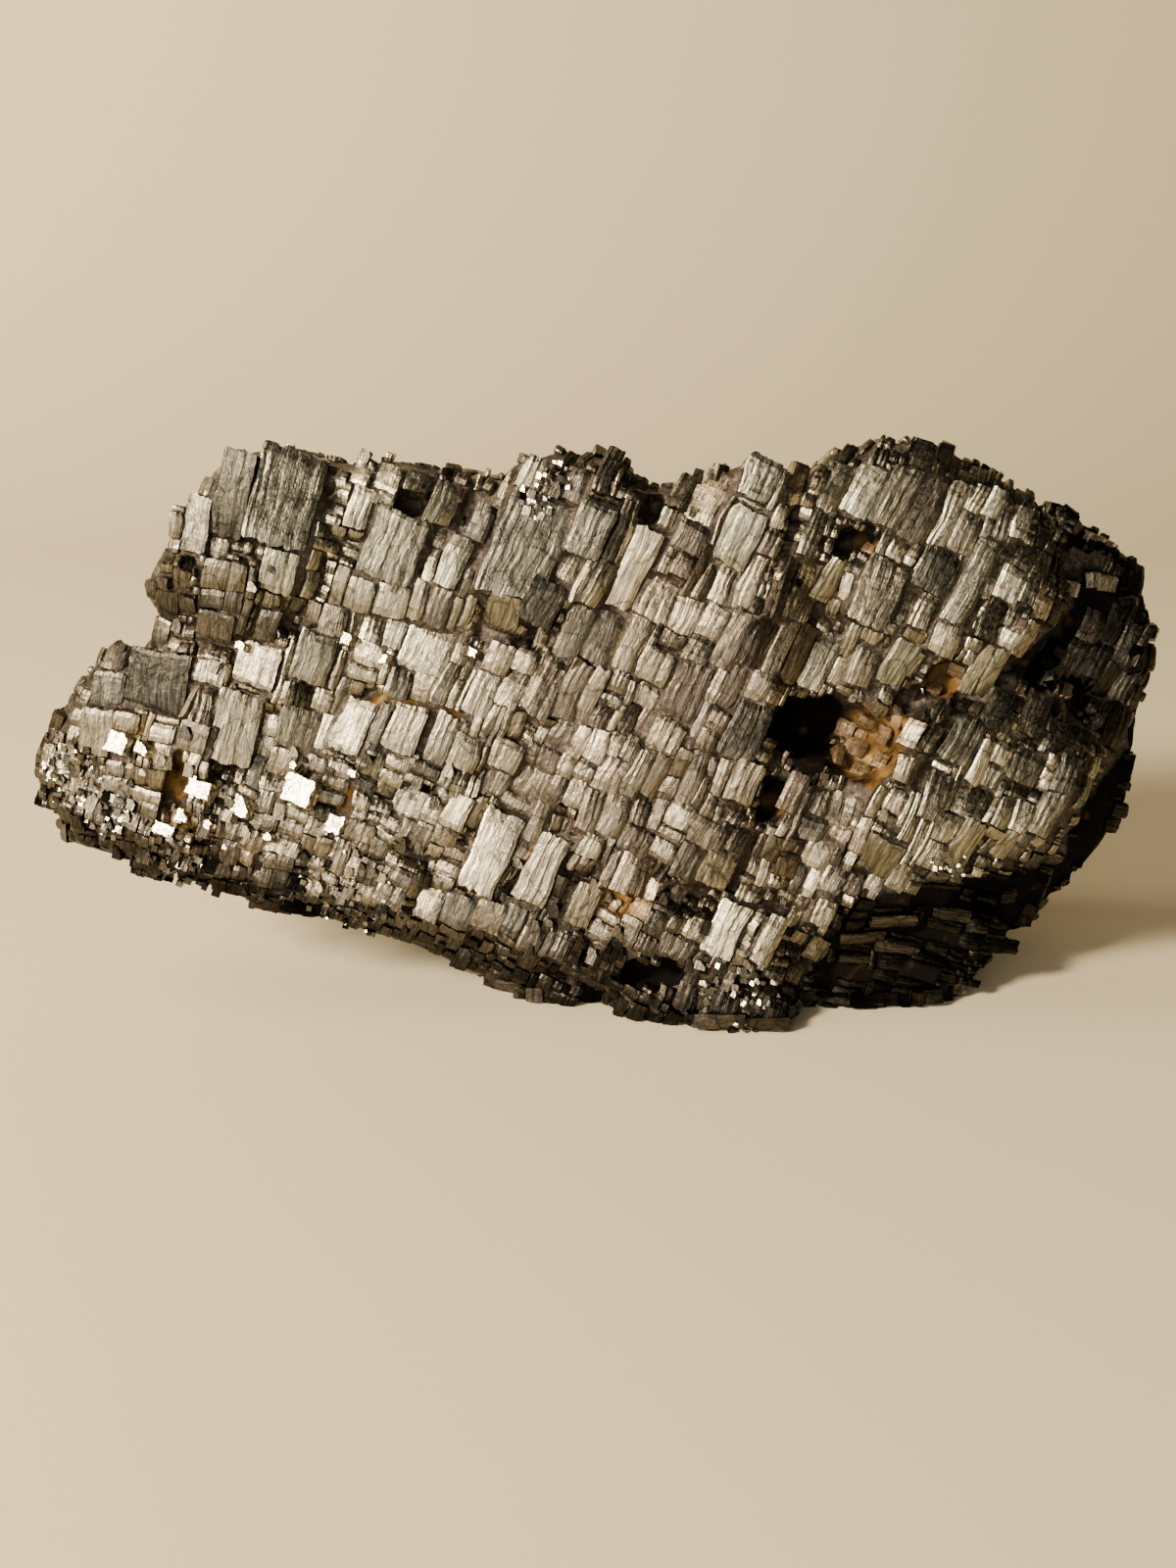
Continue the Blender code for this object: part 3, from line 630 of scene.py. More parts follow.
def bedded(side, cell):
    """How a crystal lies in a lattice cell: the cell trimmed to the solid, its middle, facing, column and slope."""
    u0, u1, v0, v1 = cell
    count = 5 if max(u1 - u0, v1 - v0) > LARGE_CELL else 3
    table = sounded(side, cell, count)
    if 0 < len(table) < count * count:
        count = 7
        table = sounded(side, cell, count)
    if len(table) < 0.4 * count * count:
        return None
    whole = len(table) == count * count
    if not whole:
        edge_u, edge_v = (u1 - u0) * MARGIN, (v1 - v0) * MARGIN
        u0, u1 = max(u0, table[:, 0].min() - edge_u), min(u1, table[:, 0].max() + edge_u)
        v0, v1 = max(v0, table[:, 1].min() - edge_v), min(v1, table[:, 1].max() + edge_v)
    plane, over = fitted_plane(table)
    slope = math.hypot(plane[0], plane[1])
    keep = min(1.0, MOST_LEAN / max(slope, 1e-6))
    um, vm = middle((u0, u1, v0, v1))
    p, q = lattice(side, um, vm)
    rise = plane[0] * p + plane[1] * q + plane[2] + np.percentile(over, 80 if whole else 50)
    facing = (side.out - side.across * plane[0] * keep - side.along * plane[1] * keep).normalized()
    upper, lower = lattice(side, um, vm + 0.5), lattice(side, um, vm - 0.5)
    column = side.across * (upper[0] - lower[0]) + side.along * (upper[1] - lower[1])
    return (u0, u1, v0, v1), side.place(p, q, rise), facing, column, slope


def lay_block(growth, side, cell, seed, finish, lift, steep=STEEP, glint=0.0, barred=False, rust=None):
    """Sets one striated crystal block into a lattice cell. A barred one has its striae along the row."""
    bed = bedded(side, cell)
    if bed is None or bed[4] > steep:
        return
    cell, centre, facing, column, _ = bed
    rng = random.Random(seed + 5)
    width, length = cell[1] - cell[0], cell[3] - cell[2]
    if barred:
        column = Vector(ROW)
        width, length = length, width
    facing = (facing.lerp(toward_light(centre), glint) + scatter(rng, WOBBLE)).normalized()
    place = centre + facing * lift
    kind = next(k for k, kept in enumerate(BLOCK_KINDS) if width < kept[0] or k == len(BLOCK_KINDS) - 1)
    form = kind * FORMS_OF_A_KIND + rng.randrange(FORMS_OF_A_KIND)
    if rust is None:
        rust = rust_at(*drawn_place(centre), place)
    size = width - 2 * GAP, length - 2 * GAP, BLOCK_DEPTH
    growth.add(place, facing, laid_flat(column, facing), size, *finish, rust, form)


def grow_front(growth):
    """The front: first the crystals that stand out, then the smaller ones between them."""
    rooms = [room(*crack) for crack in CRACKS]
    for name, crystals in CRYSTALS.items():
        tone, hue, glint = FINISHES[name]
        for n, (x, z, width, length) in enumerate(crystals):
            rooms.append(room(x, z, width, length))
            cell = cell_in(rooms[-1], WIDE_JOINT if width > WIDE_FROM else NARROW_JOINT)
            lay_block(growth, FRONT, cell, SEED + 97 * n + len(name), (tone, hue), BIG_LIFT, STEEP_BIG, glint)
    rooms += [room(*face) for face in BRIGHT_FACES]
    for n, bar in enumerate(FLANK_BARS):
        rooms.append(room(*bar))
        finish = 0.42 - 0.06 * n, 0.4
        lay_block(growth, FRONT, cell_in(rooms[-1]), SEED + 31 * n, finish, BAR_LIFT, ANY_SLOPE, barred=True)
    for n, crystal in enumerate(HOLLOW_CRYSTALS):
        rooms.append(room(*crystal))
        lay_block(growth, FRONT, cell_in(rooms[-1]), SEED + 13 * n, HOLLOW_FINISH, BIG_LIFT, ANY_SLOPE,
                  rust=HOLLOW_RUST)
    stepped = step_finder(FRONT, *FRONT_STEP)
    for solid_cell, solid_seed in split((-64, 62, -34, 36), SOLID_SEED, solid_front_size, least=SOLID_LEAST):
        for n, part in enumerate(around(solid_cell, rooms)):
            for cell, seed in split(part, solid_seed + n, front_size, stepped):
                grow_between(growth, cell, seed)


def grow_between(growth, cell, seed):
    """One of the smaller crystals of the front, unless its place is a hollow, the gap or a bare bit of the flank."""
    x, q = lattice(FRONT, *middle(cell))
    z = world_height(q)
    rng = random.Random(seed + 3)
    flank = on_flank(x, z)
    if within(BARE, x, z) or in_gap(x, z) or flank and rng.random() < (MOST_OUT if x > RIM_FROM else FEW_OUT):
        return
    hit = look_down(FRONT, x, q)
    if hit is None:
        return
    tone, hue = patch_finish(x, z)
    # The tone is lowered as painted shade on the flank, the set-back mass and the lower rim.
    tone = with_painted_shade(FRONT.place(x, q, hit[0]), tone + rng.gauss(0, SPREAD[0]))
    lay_block(growth, FRONT, cell, seed, (tone, hue + rng.gauss(0, SPREAD[1])), rng.gauss(*SMALL_LIFT), barred=flank)


def grow_side(growth, side, cells, size, tone):
    """One of the other sides: the solid's own blocks, or cells, split into coarse crystals."""
    stepped = step_finder(side, *SIDE_STEP)
    for cell, seed in [part for solid_cell in cells for part in split(*solid_cell, size, stepped)]:
        u, v = middle(cell)
        hit = look_down(side, *lattice(side, u, v))
        if hit is None or hit[1].dot(FRONT.out) > 0.6:
            continue
        rng = random.Random(seed + 3)
        broad = noise.noise(side.place(u, v, 0) * 0.06)
        finish = tone + 0.3 * broad + rng.gauss(0, SIDE_SPREAD[0]), 0.5 + rng.gauss(0, SIDE_SPREAD[1])
        lay_block(growth, side, cell, seed, finish, rng.gauss(*SIDE_LIFT), STEEP_SIDE)


def grow_bright_faces(growth):
    """The fresh, mirror-bright cleavage faces that catch the light."""
    rng = random.Random(SEED + 4)
    for x, z, width, length in BRIGHT_FACES:
        hit = look_down(FRONT, x, face_height(z))
        if hit is None:
            continue
        place = FRONT.place(x, face_height(z), hit[0] + 0.1)
        facing = toward_light(place)
        column = laid_flat(FRONT.along + FRONT.across * 0.3, facing)
        size = width * rng.uniform(0.75, 0.95), length * rng.uniform(0.75, 0.95), 1.6
        growth.add(place, facing, column, size, 1.0, 0.5, 0.0, rng.randrange(len(BLUNT)))


def grow_druse(growth):
    """Tiny cubes over the druse fields, set on the surface and nearly in line with the lattice."""
    rng = random.Random(SEED + 5)
    column_way = (FRONT.along + FRONT.across * 0.35).normalized()
    for x, z, radius, density, sparkle in DRUSE:
        for _ in range(int(math.pi * radius * radius * density)):
            turn, far = rng.uniform(0, 2 * math.pi), radius * math.sqrt(rng.random())
            p, q = x + far * math.cos(turn), face_height(z) + far * math.sin(turn)
            hit = look_down(FRONT, p, q)
            if hit is None:
                continue
            size = rng.uniform(0.28, 0.75)
            facing = (FRONT.out * 1.2 + hit[1] + scatter(rng, 0.25)).normalized()
            column = laid_flat(column_way, facing)
            place = FRONT.place(p, q, hit[0] + 0.12)
            tone = rng.choice(DRUSE_TONES)
            if rng.random() < sparkle:
                tone, size = 1.0, size * 0.7
                facing = (toward_light(place) + scatter(rng, 0.06)).normalized()
                column = laid_flat(column, facing)
            growth.add(place, facing, column, (size, size * rng.uniform(0.8, 1.3), size), tone,
                       rng.uniform(0.2, 0.5), 0.0, rng.randrange(len(BLUNT)))


def grow_chips(growth, count):
    """Small loose-looking crystals wedged in the joints of the front, most of them near the lattice's own turn."""
    rng = random.Random(SEED + 6)
    column_way = (FRONT.along + FRONT.across * 0.36).normalized()
    while len(growth.rows) < count:
        x, z = rng.uniform(-53, 46), rng.uniform(4, 52)
        hit = look_down(FRONT, x, face_height(z))
        if hit is None or within(BARE, x, z) or on_flank(x, z) or hit[1].dot(FRONT.out) < 0.5:
            continue
        if in_gap(x, z) or on_big_crystal(x, z):
            continue
        if rng.random() > (1.0 if x < -14 and z < 27 or z < 12 else 0.12):
            continue
        size = rng.uniform(0.5, 1.05)
        facing = (FRONT.out + hit[1] + scatter(rng, 0.16)).normalized()
        place = FRONT.place(x, face_height(z), hit[0] + rng.uniform(-0.1, 0.12))
        tone, hue = patch_finish(x, z)
        # The tone is lowered as painted shade on the flank, the set-back mass and the lower rim.
        tone = with_painted_shade(place, tone + rng.gauss(-0.1, 0.2))
        growth.add(place, facing, laid_flat(column_way, facing), (size, size * rng.uniform(0.8, 1.7), size), tone,
                   hue, 0.0, rng.randrange(len(BLUNT)))


def form_mesh(name, bm):
    """A finished form, with each point's place in it kept as the attribute local, which the grain follows."""
    mesh = bpy.data.meshes.new(name)
    bm.to_mesh(mesh)
    bm.free()
    co = np.zeros(len(mesh.vertices) * 3, np.float32)
    mesh.vertices.foreach_get("co", co)
    mesh.attributes.new("local", "FLOAT_VECTOR", "POINT").data.foreach_set("vector", co)
    return mesh


def form_collection(name, meshes):
    """A collection of forms for Geometry Nodes to pick from, in the order given."""
    held = bpy.data.collections.new(name)
    for n, mesh in enumerate(meshes):
        held.objects.link(bpy.data.objects.new(f"{name}_{n:02d}", mesh))
    return held


def block_form(columns, rows, rng):
    """A striated block in a unit cell: an uneven top of lamellae side by side, ragged ends, and a deep root."""
    shares = [rng.uniform(0.6, 1.4) for _ in range(columns)]
    across = [sum(shares[:k]) / sum(shares) - 0.5 for k in range(columns + 1)]
    along = [k / rows - 0.5 + (rng.uniform(-0.25, 0.25) / rows if 0 < k < rows else 0) for k in range(rows + 1)]
    ridges = [rng.gauss(0, 0.014) for _ in across]
    ragged = [[rng.uniform(-0.035, 0.015) for _ in across] for _ in range(2)]
    bm = bmesh.new()
    grid = []
    for j, y in enumerate(along):
        line = []
        for i, x in enumerate(across):
            on_side, on_end = i in (0, columns), j in (0, rows)
            reach = y
            if on_end:
                reach += ragged[j > 0][i] * (1 if j else -1)
            inward = 0.97 if on_side and on_end else 1.0
            sink = 0.035 * on_side + 0.04 * on_end
            bulge = -0.11 * (x * x + y * y)
            height = ridges[i] + rng.gauss(0, 0.006) - sink + bulge
            line.append(bm.verts.new((x * inward, reach * inward, height)))
        grid.append(line)
    for j in range(rows):
        for i in range(columns):
            bm.faces.new((grid[j][i], grid[j][i + 1], grid[j + 1][i + 1], grid[j + 1][i]))
    rim = grid[0] + [line[-1] for line in grid[1:]] + grid[-1][-2::-1] + [line[0] for line in grid[-2:0:-1]]
    roots = [bm.verts.new((v.co.x, v.co.y, -1.0)) for v in rim]
    for k, root in enumerate(roots):
        bm.faces.new((roots[k - 1], root, rim[k], rim[k - 1]))
    return form_mesh("striated_block", bm)


def block_forms():
    rng = random.Random(SEED + 2)
    return form_collection("block", [
        block_form(columns, rows, rng) for _, columns, rows in BLOCK_KINDS for _ in range(FORMS_OF_A_KIND)
    ])


def cube_forms():
    """Druse cubes, one plain and two with a blunted corner."""
    meshes = []
    for label, blunt in BLUNT.items():
        bm = bmesh.new()
        bmesh.ops.create_cube(bm, size=1.0)
        if blunt:
            corner = max(bm.verts, key=lambda v: v.co.x + v.co.y + v.co.z)
            bmesh.ops.bevel(bm, geom=[corner], offset=blunt, segments=1, affect="VERTICES")
        meshes.append(form_mesh(label, bm))
    return form_collection("druse_cube", meshes)


def growth_tree():
    """Geometry Nodes: grows one form at every point, turned and sized by the point's attributes."""
    tree = bpy.data.node_groups.new("crystal_growth", "GeometryNodeTree")
    tree.is_modifier = True
    add = partial(node, tree)
    for name, kind in (
        ("Geometry", "Geometry"), ("Forms", "Collection"), ("Finish", "Material"), ("Roll", "Float"),
        ("Sway", "Float"), ("Detail", "Int"), ("Striation", "Float"), ("Waviness", "Float"),
        ("Chipping", "Float"), ("Seed", "Int"),
    ):
        tree.interface.new_socket(name, in_out="INPUT", socket_type="NodeSocket" + kind)
    tree.interface.new_socket("Geometry", in_out="OUTPUT", socket_type="NodeSocketGeometry")
    given = add("NodeGroupInput").outputs
    facing, column, size, local, grain, number, form = (
        add("GeometryNodeInputNamedAttribute", {"Name": label}, data_type=kind) for label, kind in (
            *((label, "FLOAT_VECTOR") for label in ("facing", "column", "size", "local", "grain")),
            ("number", "FLOAT"), ("form", "INT"),
        ))

    forms = add("GeometryNodeCollectionInfo", {
        "Collection": given["Forms"], "Separate Children": True, "Reset Children": True})
    turned = add("FunctionNodeAxesToRotation", {"Primary Axis": facing, "Secondary Axis": column},
                 primary_axis="Z", secondary_axis="Y")
    grown = add("GeometryNodeInstanceOnPoints", {
        "Points": given["Geometry"], "Instance": forms, "Pick Instance": True, "Instance Index": form,
        "Rotation": turned, "Scale": size})
    minus_roll, minus_sway = (
        add(MATH, {0: given[name], 1: -1.0}, operation="MULTIPLY") for name in ("Roll", "Sway"))
    low = add("ShaderNodeCombineXYZ", {0: minus_sway, 1: minus_roll, 2: minus_sway})
    high = add("ShaderNodeCombineXYZ", {0: given["Sway"], 1: given["Roll"], 2: given["Sway"]})
    tilt = add("FunctionNodeRandomValue", {0: low, 1: high, "Seed": given["Seed"]}, data_type="FLOAT_VECTOR")
    rolled = add("GeometryNodeRotateInstances", {"Instances": grown, "Rotation": tilt, "Local Space": True})
    drawn = add("FunctionNodeRandomValue", {2: 0.0, 3: 1.0, "Seed": given["Seed"]}, data_type="FLOAT")
    numbered = add("GeometryNodeStoreNamedAttribute", {"Geometry": rolled, "Name": "number", "Value": drawn},
                   data_type="FLOAT", domain="INSTANCE")
    real = add("GeometryNodeRealizeInstances", {"Geometry": numbered})
    fine = add("GeometryNodeSubdivideMesh", {"Mesh": real, "Level": given["Detail"]})

    # The grain is a form's own place at its real size, shifted so that no two forms share a pattern.
    sized = add(VECTOR_MATH, {0: local, 1: size}, operation="MULTIPLY")
    apart = add(VECTOR_MATH, {0: number, "Scale": 0.37}, operation="SCALE")
    shifted = add(VECTOR_MATH, {0: sized, 1: apart}, operation="ADD")
    kept = add("GeometryNodeStoreNamedAttribute", {"Geometry": fine, "Name": "grain", "Value": shifted},
               data_type="FLOAT_VECTOR", domain="POINT")

    # Striae are about 0.3 mm apart and run on for 3 mm.
    drawn_out = add(VECTOR_MATH, {0: grain, 1: (1.0, 0.1, 0.5)}, operation="MULTIPLY")
    striae = add(NOISE, {"Vector": drawn_out, "Scale": 1 / 0.28e-3, "Detail": 1.0})
    stria = add(MATH, {0: striae, 1: 0.5}, operation="SUBTRACT")
    height = add(MATH, {0: stria, 1: given["Striation"]}, operation="MULTIPLY")
    lifted = add(VECTOR_MATH, {0: facing, "Scale": height}, operation="SCALE")

    # Joints wave over 4.5 mm, and edges chip over 0.5 mm, mostly in the plane of the face.
    here = add("GeometryNodeInputPosition")
    waved, chipped = (
        add(VECTOR_MATH, {
            0: add(VECTOR_MATH, {
                0: add(NOISE, {"Vector": here, "Scale": scale, "Detail": 1.0}).outputs["Color"],
                1: (0.5, 0.5, 0.5)}, operation="SUBTRACT"),
            "Scale": amount}, operation="SCALE")
        for scale, amount in ((1 / 4.5e-3, given["Waviness"]), (1 / 0.5e-3, given["Chipping"])))
    moved = add(VECTOR_MATH, {0: waved, 1: chipped}, operation="ADD")
    out = add(VECTOR_MATH, {0: moved, 1: facing}, operation="DOT_PRODUCT")
    back = add(MATH, {0: out, 1: -0.75}, operation="MULTIPLY")
    pull = add(VECTOR_MATH, {0: facing, "Scale": back}, operation="SCALE")
    level = add(VECTOR_MATH, {0: moved, 1: pull}, operation="ADD")
    shift = add(VECTOR_MATH, {0: level, 1: lifted}, operation="ADD")
    worn = add("GeometryNodeSetPosition", {"Geometry": kept, "Offset": shift})
    finished = add("GeometryNodeSetMaterial", {"Geometry": worn, "Material": given["Finish"]})
    add("NodeGroupOutput", {"Geometry": finished})
    return tree


GROWTH_TREE = growth_tree()


def keep_in_box(mesh):
    """No point may lie outside the CAD solid's own box."""
    co = np.zeros(len(mesh.vertices) * 3, np.float32)
    mesh.vertices.foreach_get("co", co)
    inside = np.clip(co.reshape(-1, 3), np.array(CAD_LOW) + 1e-6, np.array(CAD_HIGH) - 1e-6)
    mesh.vertices.foreach_set("co", inside.astype(np.float32).ravel())
    mesh.update()


def grown_piece(name, growth, finish, seed, settings):
    """Runs the growth tree on the gathered points, and leaves one plain mesh inside the CAD box."""
    made = growth.points(name)
    modifier = made.modifiers.new("growth", "NODES")
    modifier.node_group = GROWTH_TREE
    sockets = {item.name: item.identifier for item in GROWTH_TREE.interface.items_tree if item.in_out == "INPUT"}
    for label, value in {**settings, "Finish": finish, "Seed": seed}.items():
        modifier[sockets[label]] = value
    mesh = applied(made)
    for label in ("facing", "column", "size", "form", "local", "number"):
        if label in mesh.attributes:
            mesh.attributes.remove(mesh.attributes[label])
    keep_in_box(mesh)
    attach(made, BODY)


def groundmass(finish):
    """The dark fine-grained mass between the crystals: the solid, remeshed evenly, a little sunk and rough."""
    source = bpy.data.meshes.new("solid_copy")
    SOLID.to_mesh(source)
    made = placed("groundmass", source)
    remesh = made.modifiers.new("even", "REMESH")
    remesh.mode = "VOXEL"
    remesh.voxel_size = VOXEL * MM
    mesh = applied(made)
    mesh.materials.clear()
    mesh.materials.append(finish)
    count = len(mesh.vertices)
    places, normals = np.zeros(count * 3), np.zeros(count * 3)
    rust, deep = np.zeros(count, np.float32), np.zeros(count, np.float32)
    mesh.vertices.foreach_get("co", places)
    mesh.vertex_normals.foreach_get("vector", normals)
    places, normals = places.reshape(-1, 3) / MM, normals.reshape(-1, 3)
    for n in range(count):
        place, normal = Vector(places[n]), Vector(normals[n])
        grain = noise.noise(place * 2.6) + 0.5 * noise.noise(place * 6.0)
        x, z = drawn_place(place)
        front = normal.dot(FRONT.out) > -0.2 and place.y < DRAWN_AT.y + 12
        behind = max(0.0, noise.noise(place * 0.22) - 0.25) * 1.5 * (normal.y > 0.3)
        rust[n] = rust_at(x, z, place) if front else behind
        # deep marks the painted shade that the groundmass turns black and matt: the gap in the lobe's shadow, the
        # flank and the shaded hollows.
        deep[n] = front and (in_gap(x, z) or on_flank(x, z) or within(BLACK, x, z))
        places[n] -= normals[n] * (SUNK + ROUGH * grain)
    mesh.vertices.foreach_set("co", (places * MM).astype(np.float32).ravel())
    mesh.attributes.new("rust", "FLOAT", "POINT").data.foreach_set("value", rust)
    mesh.attributes.new("deep", "FLOAT", "POINT").data.foreach_set("value", deep)
    keep_in_box(mesh)
    mesh.polygons.foreach_set("use_smooth", [True] * len(mesh.polygons))
    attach(made, BODY)
    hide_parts(NODE)


def new_material(name):
    """A material, what adds a node to it, and its shader."""
    material = bpy.data.materials.new(name)
    material.use_nodes = True
    return material, partial(node, material.node_tree), material.node_tree.nodes["Principled BSDF"]


def tarnished_pyrite():
    """Pyrite, grown as striated crystals and dulled by tarnish: a brassy grey metal, brighter on fresh faces.

    The eye sees fine lines along the columns, light and dark bands along them that are partly the crystal's own
    banding and partly painted sheen, a green or rose cast of the tarnish film, and an ochre skin where iron rust has
    crept over the edges.
    """
    material, add, shader = new_material("tarnished_pyrite")
    grain, tone, hue, rust = (
        add("ShaderNodeAttribute", attribute_name=label).outputs[output] for label, output in (
            ("grain", "Vector"), ("tone", "Fac"), ("hue", "Fac"), ("rust", "Fac")))
    place = add("ShaderNodeTexCoord").outputs["Object"]

    # Growth striae are 0.05 to 0.2 mm apart and run on for 1 to 3 mm. They are drawn about 0.3 mm apart, or the eye
    # loses them.
    lines = add("ShaderNodeMapping", {"Vector": grain, "Scale": (1 / 0.16e-3, 1 / 2.4e-3, 1 / 0.6e-3)})
    striae = add(NOISE, {"Vector": lines, "Scale": 1.0, "Detail": 3.0, "Roughness": 0.68})
    # Etch pits and dust are about 0.15 mm across.
    pits = add(NOISE, {"Vector": place, "Scale": 1 / 0.3e-3, "Detail": 3.0, "Roughness": 0.65})
    # The tarnish film changes over 1 to 2 mm.
    film = add(NOISE, {"Vector": place, "Scale": 1 / 2.2e-3, "Detail": 2.0})

    cool = add("ShaderNodeValToRGB", {"Fac": tone})
    warm = add("ShaderNodeValToRGB", {"Fac": tone})
    for ramp, colours in (
        (cool.color_ramp, ("0b0b09", "4b4b43", "7c7a69", "c8c4af")),
        (warm.color_ramp, ("0c0a08", "594f44", "8b7f6b", "d2c7ae")),
    ):
        ramp.elements.new(0.4)
        ramp.elements.new(0.7)
        for element, colour in zip(ramp.elements, colours):
            element.color = linear(colour)
    cast = add(MIX, {"Factor": hue, 6: cool, 7: warm}, data_type="RGBA")
    # Bands along the striae scale the colour 0.38 to 2.6 times: partly the crystal's own banding, partly painted
    # sheen.
    drawn = add(MATH, {0: striae, 1: 4.4, 2: -2.2}, operation="MULTIPLY_ADD")
    banding_and_sheen = add(MATH, {0: 2.4, 1: drawn}, operation="POWER")
    filmed, gloss = (
        add(RANGE, {"Value": value, "From Min": 0.3, "From Max": 0.7, "To Min": low, "To Max": high})
        for value, low, high in ((film, 0.8, 1.12), (pits, 0.2, 0.42)))
    # Hair cracks part a crystal into pieces of about 1 by 2.5 mm. They are drawn 0.1 mm wide, or the eye loses them.
    bent = add(NOISE, {"Vector": grain, "Scale": 1 / 0.9e-3, "Detail": 2.0}).outputs["Color"]
    spread = add("ShaderNodeMapping", {"Vector": grain, "Scale": (1 / 1.2e-3, 1 / 2.6e-3, 1 / 8e-3)})
    turned = add(MIX, {"Factor": 0.22, 4: spread, 5: bent}, data_type="VECTOR", blend_type="MIX")
    edges = add("ShaderNodeTexVoronoi", {"Vector": turned, "Scale": 1.0, "Randomness": 1.0},
                feature="DISTANCE_TO_EDGE")
    hair = add(RANGE, {"Value": edges, "From Min": 0.01, "From Max": 0.05, "To Min": 0.5, "To Max": 1.0})
    streaked = add(MATH, {0: banding_and_sheen, 1: filmed}, operation="MULTIPLY")
    shade = add(MATH, {0: streaked, 1: hair}, operation="MULTIPLY")
    metal = add(MIX, {"Factor": 1.0, 6: cast, 7: shade}, data_type="RGBA", blend_type="MULTIPLY", clamp_result=True)
    # The rust's skin is brown, and ochre where the hue is warmest.
    crept = add(MATH, {0: rust, 1: pits}, operation="MULTIPLY")
    skin = add(RANGE, {"Value": crept, "From Min": 0.18, "From Max": 0.5, "To Max": 0.9})
    yellowed = add(MATH, {0: hue, 1: 4.0}, operation="POWER")
    ochre = add(MIX, {"Factor": yellowed, 6: linear("674c28"), 7: linear("6b5016")}, data_type="RGBA")
    rusty = add(MIX, {"Factor": skin, 6: metal, 7: ochre}, data_type="RGBA")
    bare = add(RANGE, {"Value": skin, "To Min": 1.0, "To Max": 0.1})
    dulled = add(MATH, {0: skin, 1: 0.4, 2: gloss}, operation="MULTIPLY_ADD")
    lined = add("ShaderNodeBump", {"Height": striae, "Strength": 1.0, "Distance": 0.055e-3})
    pitted = add("ShaderNodeBump", {"Height": pits, "Strength": 0.5, "Distance": 0.05e-3, "Normal": lined})
    feed(shader, {"Base Color": rusty, "Metallic": bare, "Roughness": dulled, "Normal": pitted})
    return material


def dark_groundmass():
    """Fine-grained pyrite and iron oxide, broken and weathered: nearly black, gritty, with sparse glitter.

    Limonite, powdery and matt, fills the hollows in orange, brown and ochre. The shaded hollows, the gap and the
    flank, where deep is set, are painted matt black as shade.
    """
    material, add, shader = new_material("dark_groundmass")
    rust, deep = (add("ShaderNodeAttribute", attribute_name=label).outputs["Fac"] for label in ("rust", "deep"))
    place = add("ShaderNodeTexCoord").outputs["Object"]
    # Grit is 0.25 to 0.5 mm, and the rust is cloudy over 1 to 2 mm.
    grit = add(NOISE, {"Vector": place, "Scale": 1 / 0.5e-3, "Detail": 4.0, "Roughness": 0.7})
    clouds = add(NOISE, {"Vector": place, "Scale": 1 / 1.8e-3, "Detail": 3.0})
    stone = add("ShaderNodeValToRGB", {"Fac": grit})
    ochre = add("ShaderNodeValToRGB", {"Fac": clouds})
    for ramp, stops in (
        (stone.color_ramp, ((0.3, "1a1713"), (0.55, "3e3730"), (0.75, "776d5e"))),
        (ochre.color_ramp, ((0.3, "261a0b"), (0.5, "604826"), (0.72, "9a7d4c"))),
    ):
        ramp.elements.new(0.5)
        for element, (at, colour) in zip(ramp.elements, stops):
            element.position = at
            element.color = linear(colour)
    mask = add(RANGE, {"Value": rust, "From Min": 0.15, "From Max": 0.45})
    thick = add(RANGE, {"Value": rust, "From Min": 0.3, "From Max": 0.95, "To Min": 0.3})
    powder = add(MIX, {"Factor": 1.0, 6: ochre, 7: thick}, data_type="RGBA", blend_type="MULTIPLY")
    # Painted shade: where deep is set, the stone turns near-black, and below, it is matt with no metal.
    stone_with_painted_shade = add(MIX, {"Factor": deep, 6: stone, 7: linear("0b0907")}, data_type="RGBA")
    colour = add(MIX, {"Factor": mask, 6: stone_with_painted_shade, 7: powder}, data_type="RGBA")
    dull = add(MATH, {0: mask, 1: deep}, operation="MAXIMUM")
    metal, matt, sheen = (
        add(RANGE, {"Value": dull, "To Min": on_stone, "To Max": on_rust})
        for on_stone, on_rust in ((0.75, 0.0), (0.5, 0.95), (0.5, 0.05)))
    gritty = add("ShaderNodeBump", {"Height": grit, "Strength": 0.8, "Distance": 0.25e-3})
    feed(shader, {
        "Base Color": colour, "Metallic": metal, "Roughness": matt, "Specular IOR Level": sheen, "Normal": gritty})
    return material


def backdrop():
    """A pale floor that sweeps up into a plain wall behind, of matt painted board."""
    half_width, near, bend_at, radius, top, steps = 1400.0, -700.0, 220.0, 160.0, 900.0, 8
    profile = [(near, 0.0), (bend_at, 0.0)]
    for k in range(1, steps + 1):
        turn = math.radians(90 * k / steps)
        profile.append((bend_at + radius * math.sin(turn), radius * (1 - math.cos(turn))))
    profile.append((bend_at + radius, top))
    bm = bmesh.new()
    for y, z in profile:
        for x in (-half_width, half_width):
            bm.verts.new((x * MM, y * MM, z * MM))
    bm.verts.ensure_lookup_table()
    for k in range(len(profile) - 1):
        face = bm.faces.new([bm.verts[2 * k + n] for n in (0, 1, 3, 2)])
        face.smooth = True
    mesh = bpy.data.meshes.new("backdrop")
    bm.to_mesh(mesh)
    bm.free()
    board, _, shader = new_material("pale_board")
    shader.inputs["Base Color"].default_value = linear("b6ae94")
    shader.inputs["Roughness"].default_value = 0.7
    mesh.materials.append(board)
    made = placed("backdrop", mesh)


def camera():
    lens = bpy.data.cameras.new("camera")
    lens.sensor_width = 36.0
    lens.lens = LENS
    lens.clip_start = 0.01
    made = placed("camera", lens)
    made.location = EYE * MM
    made.rotation_euler = (math.pi / 2 - TILT_DOWN, 0, 0)
    bpy.context.scene.camera = made


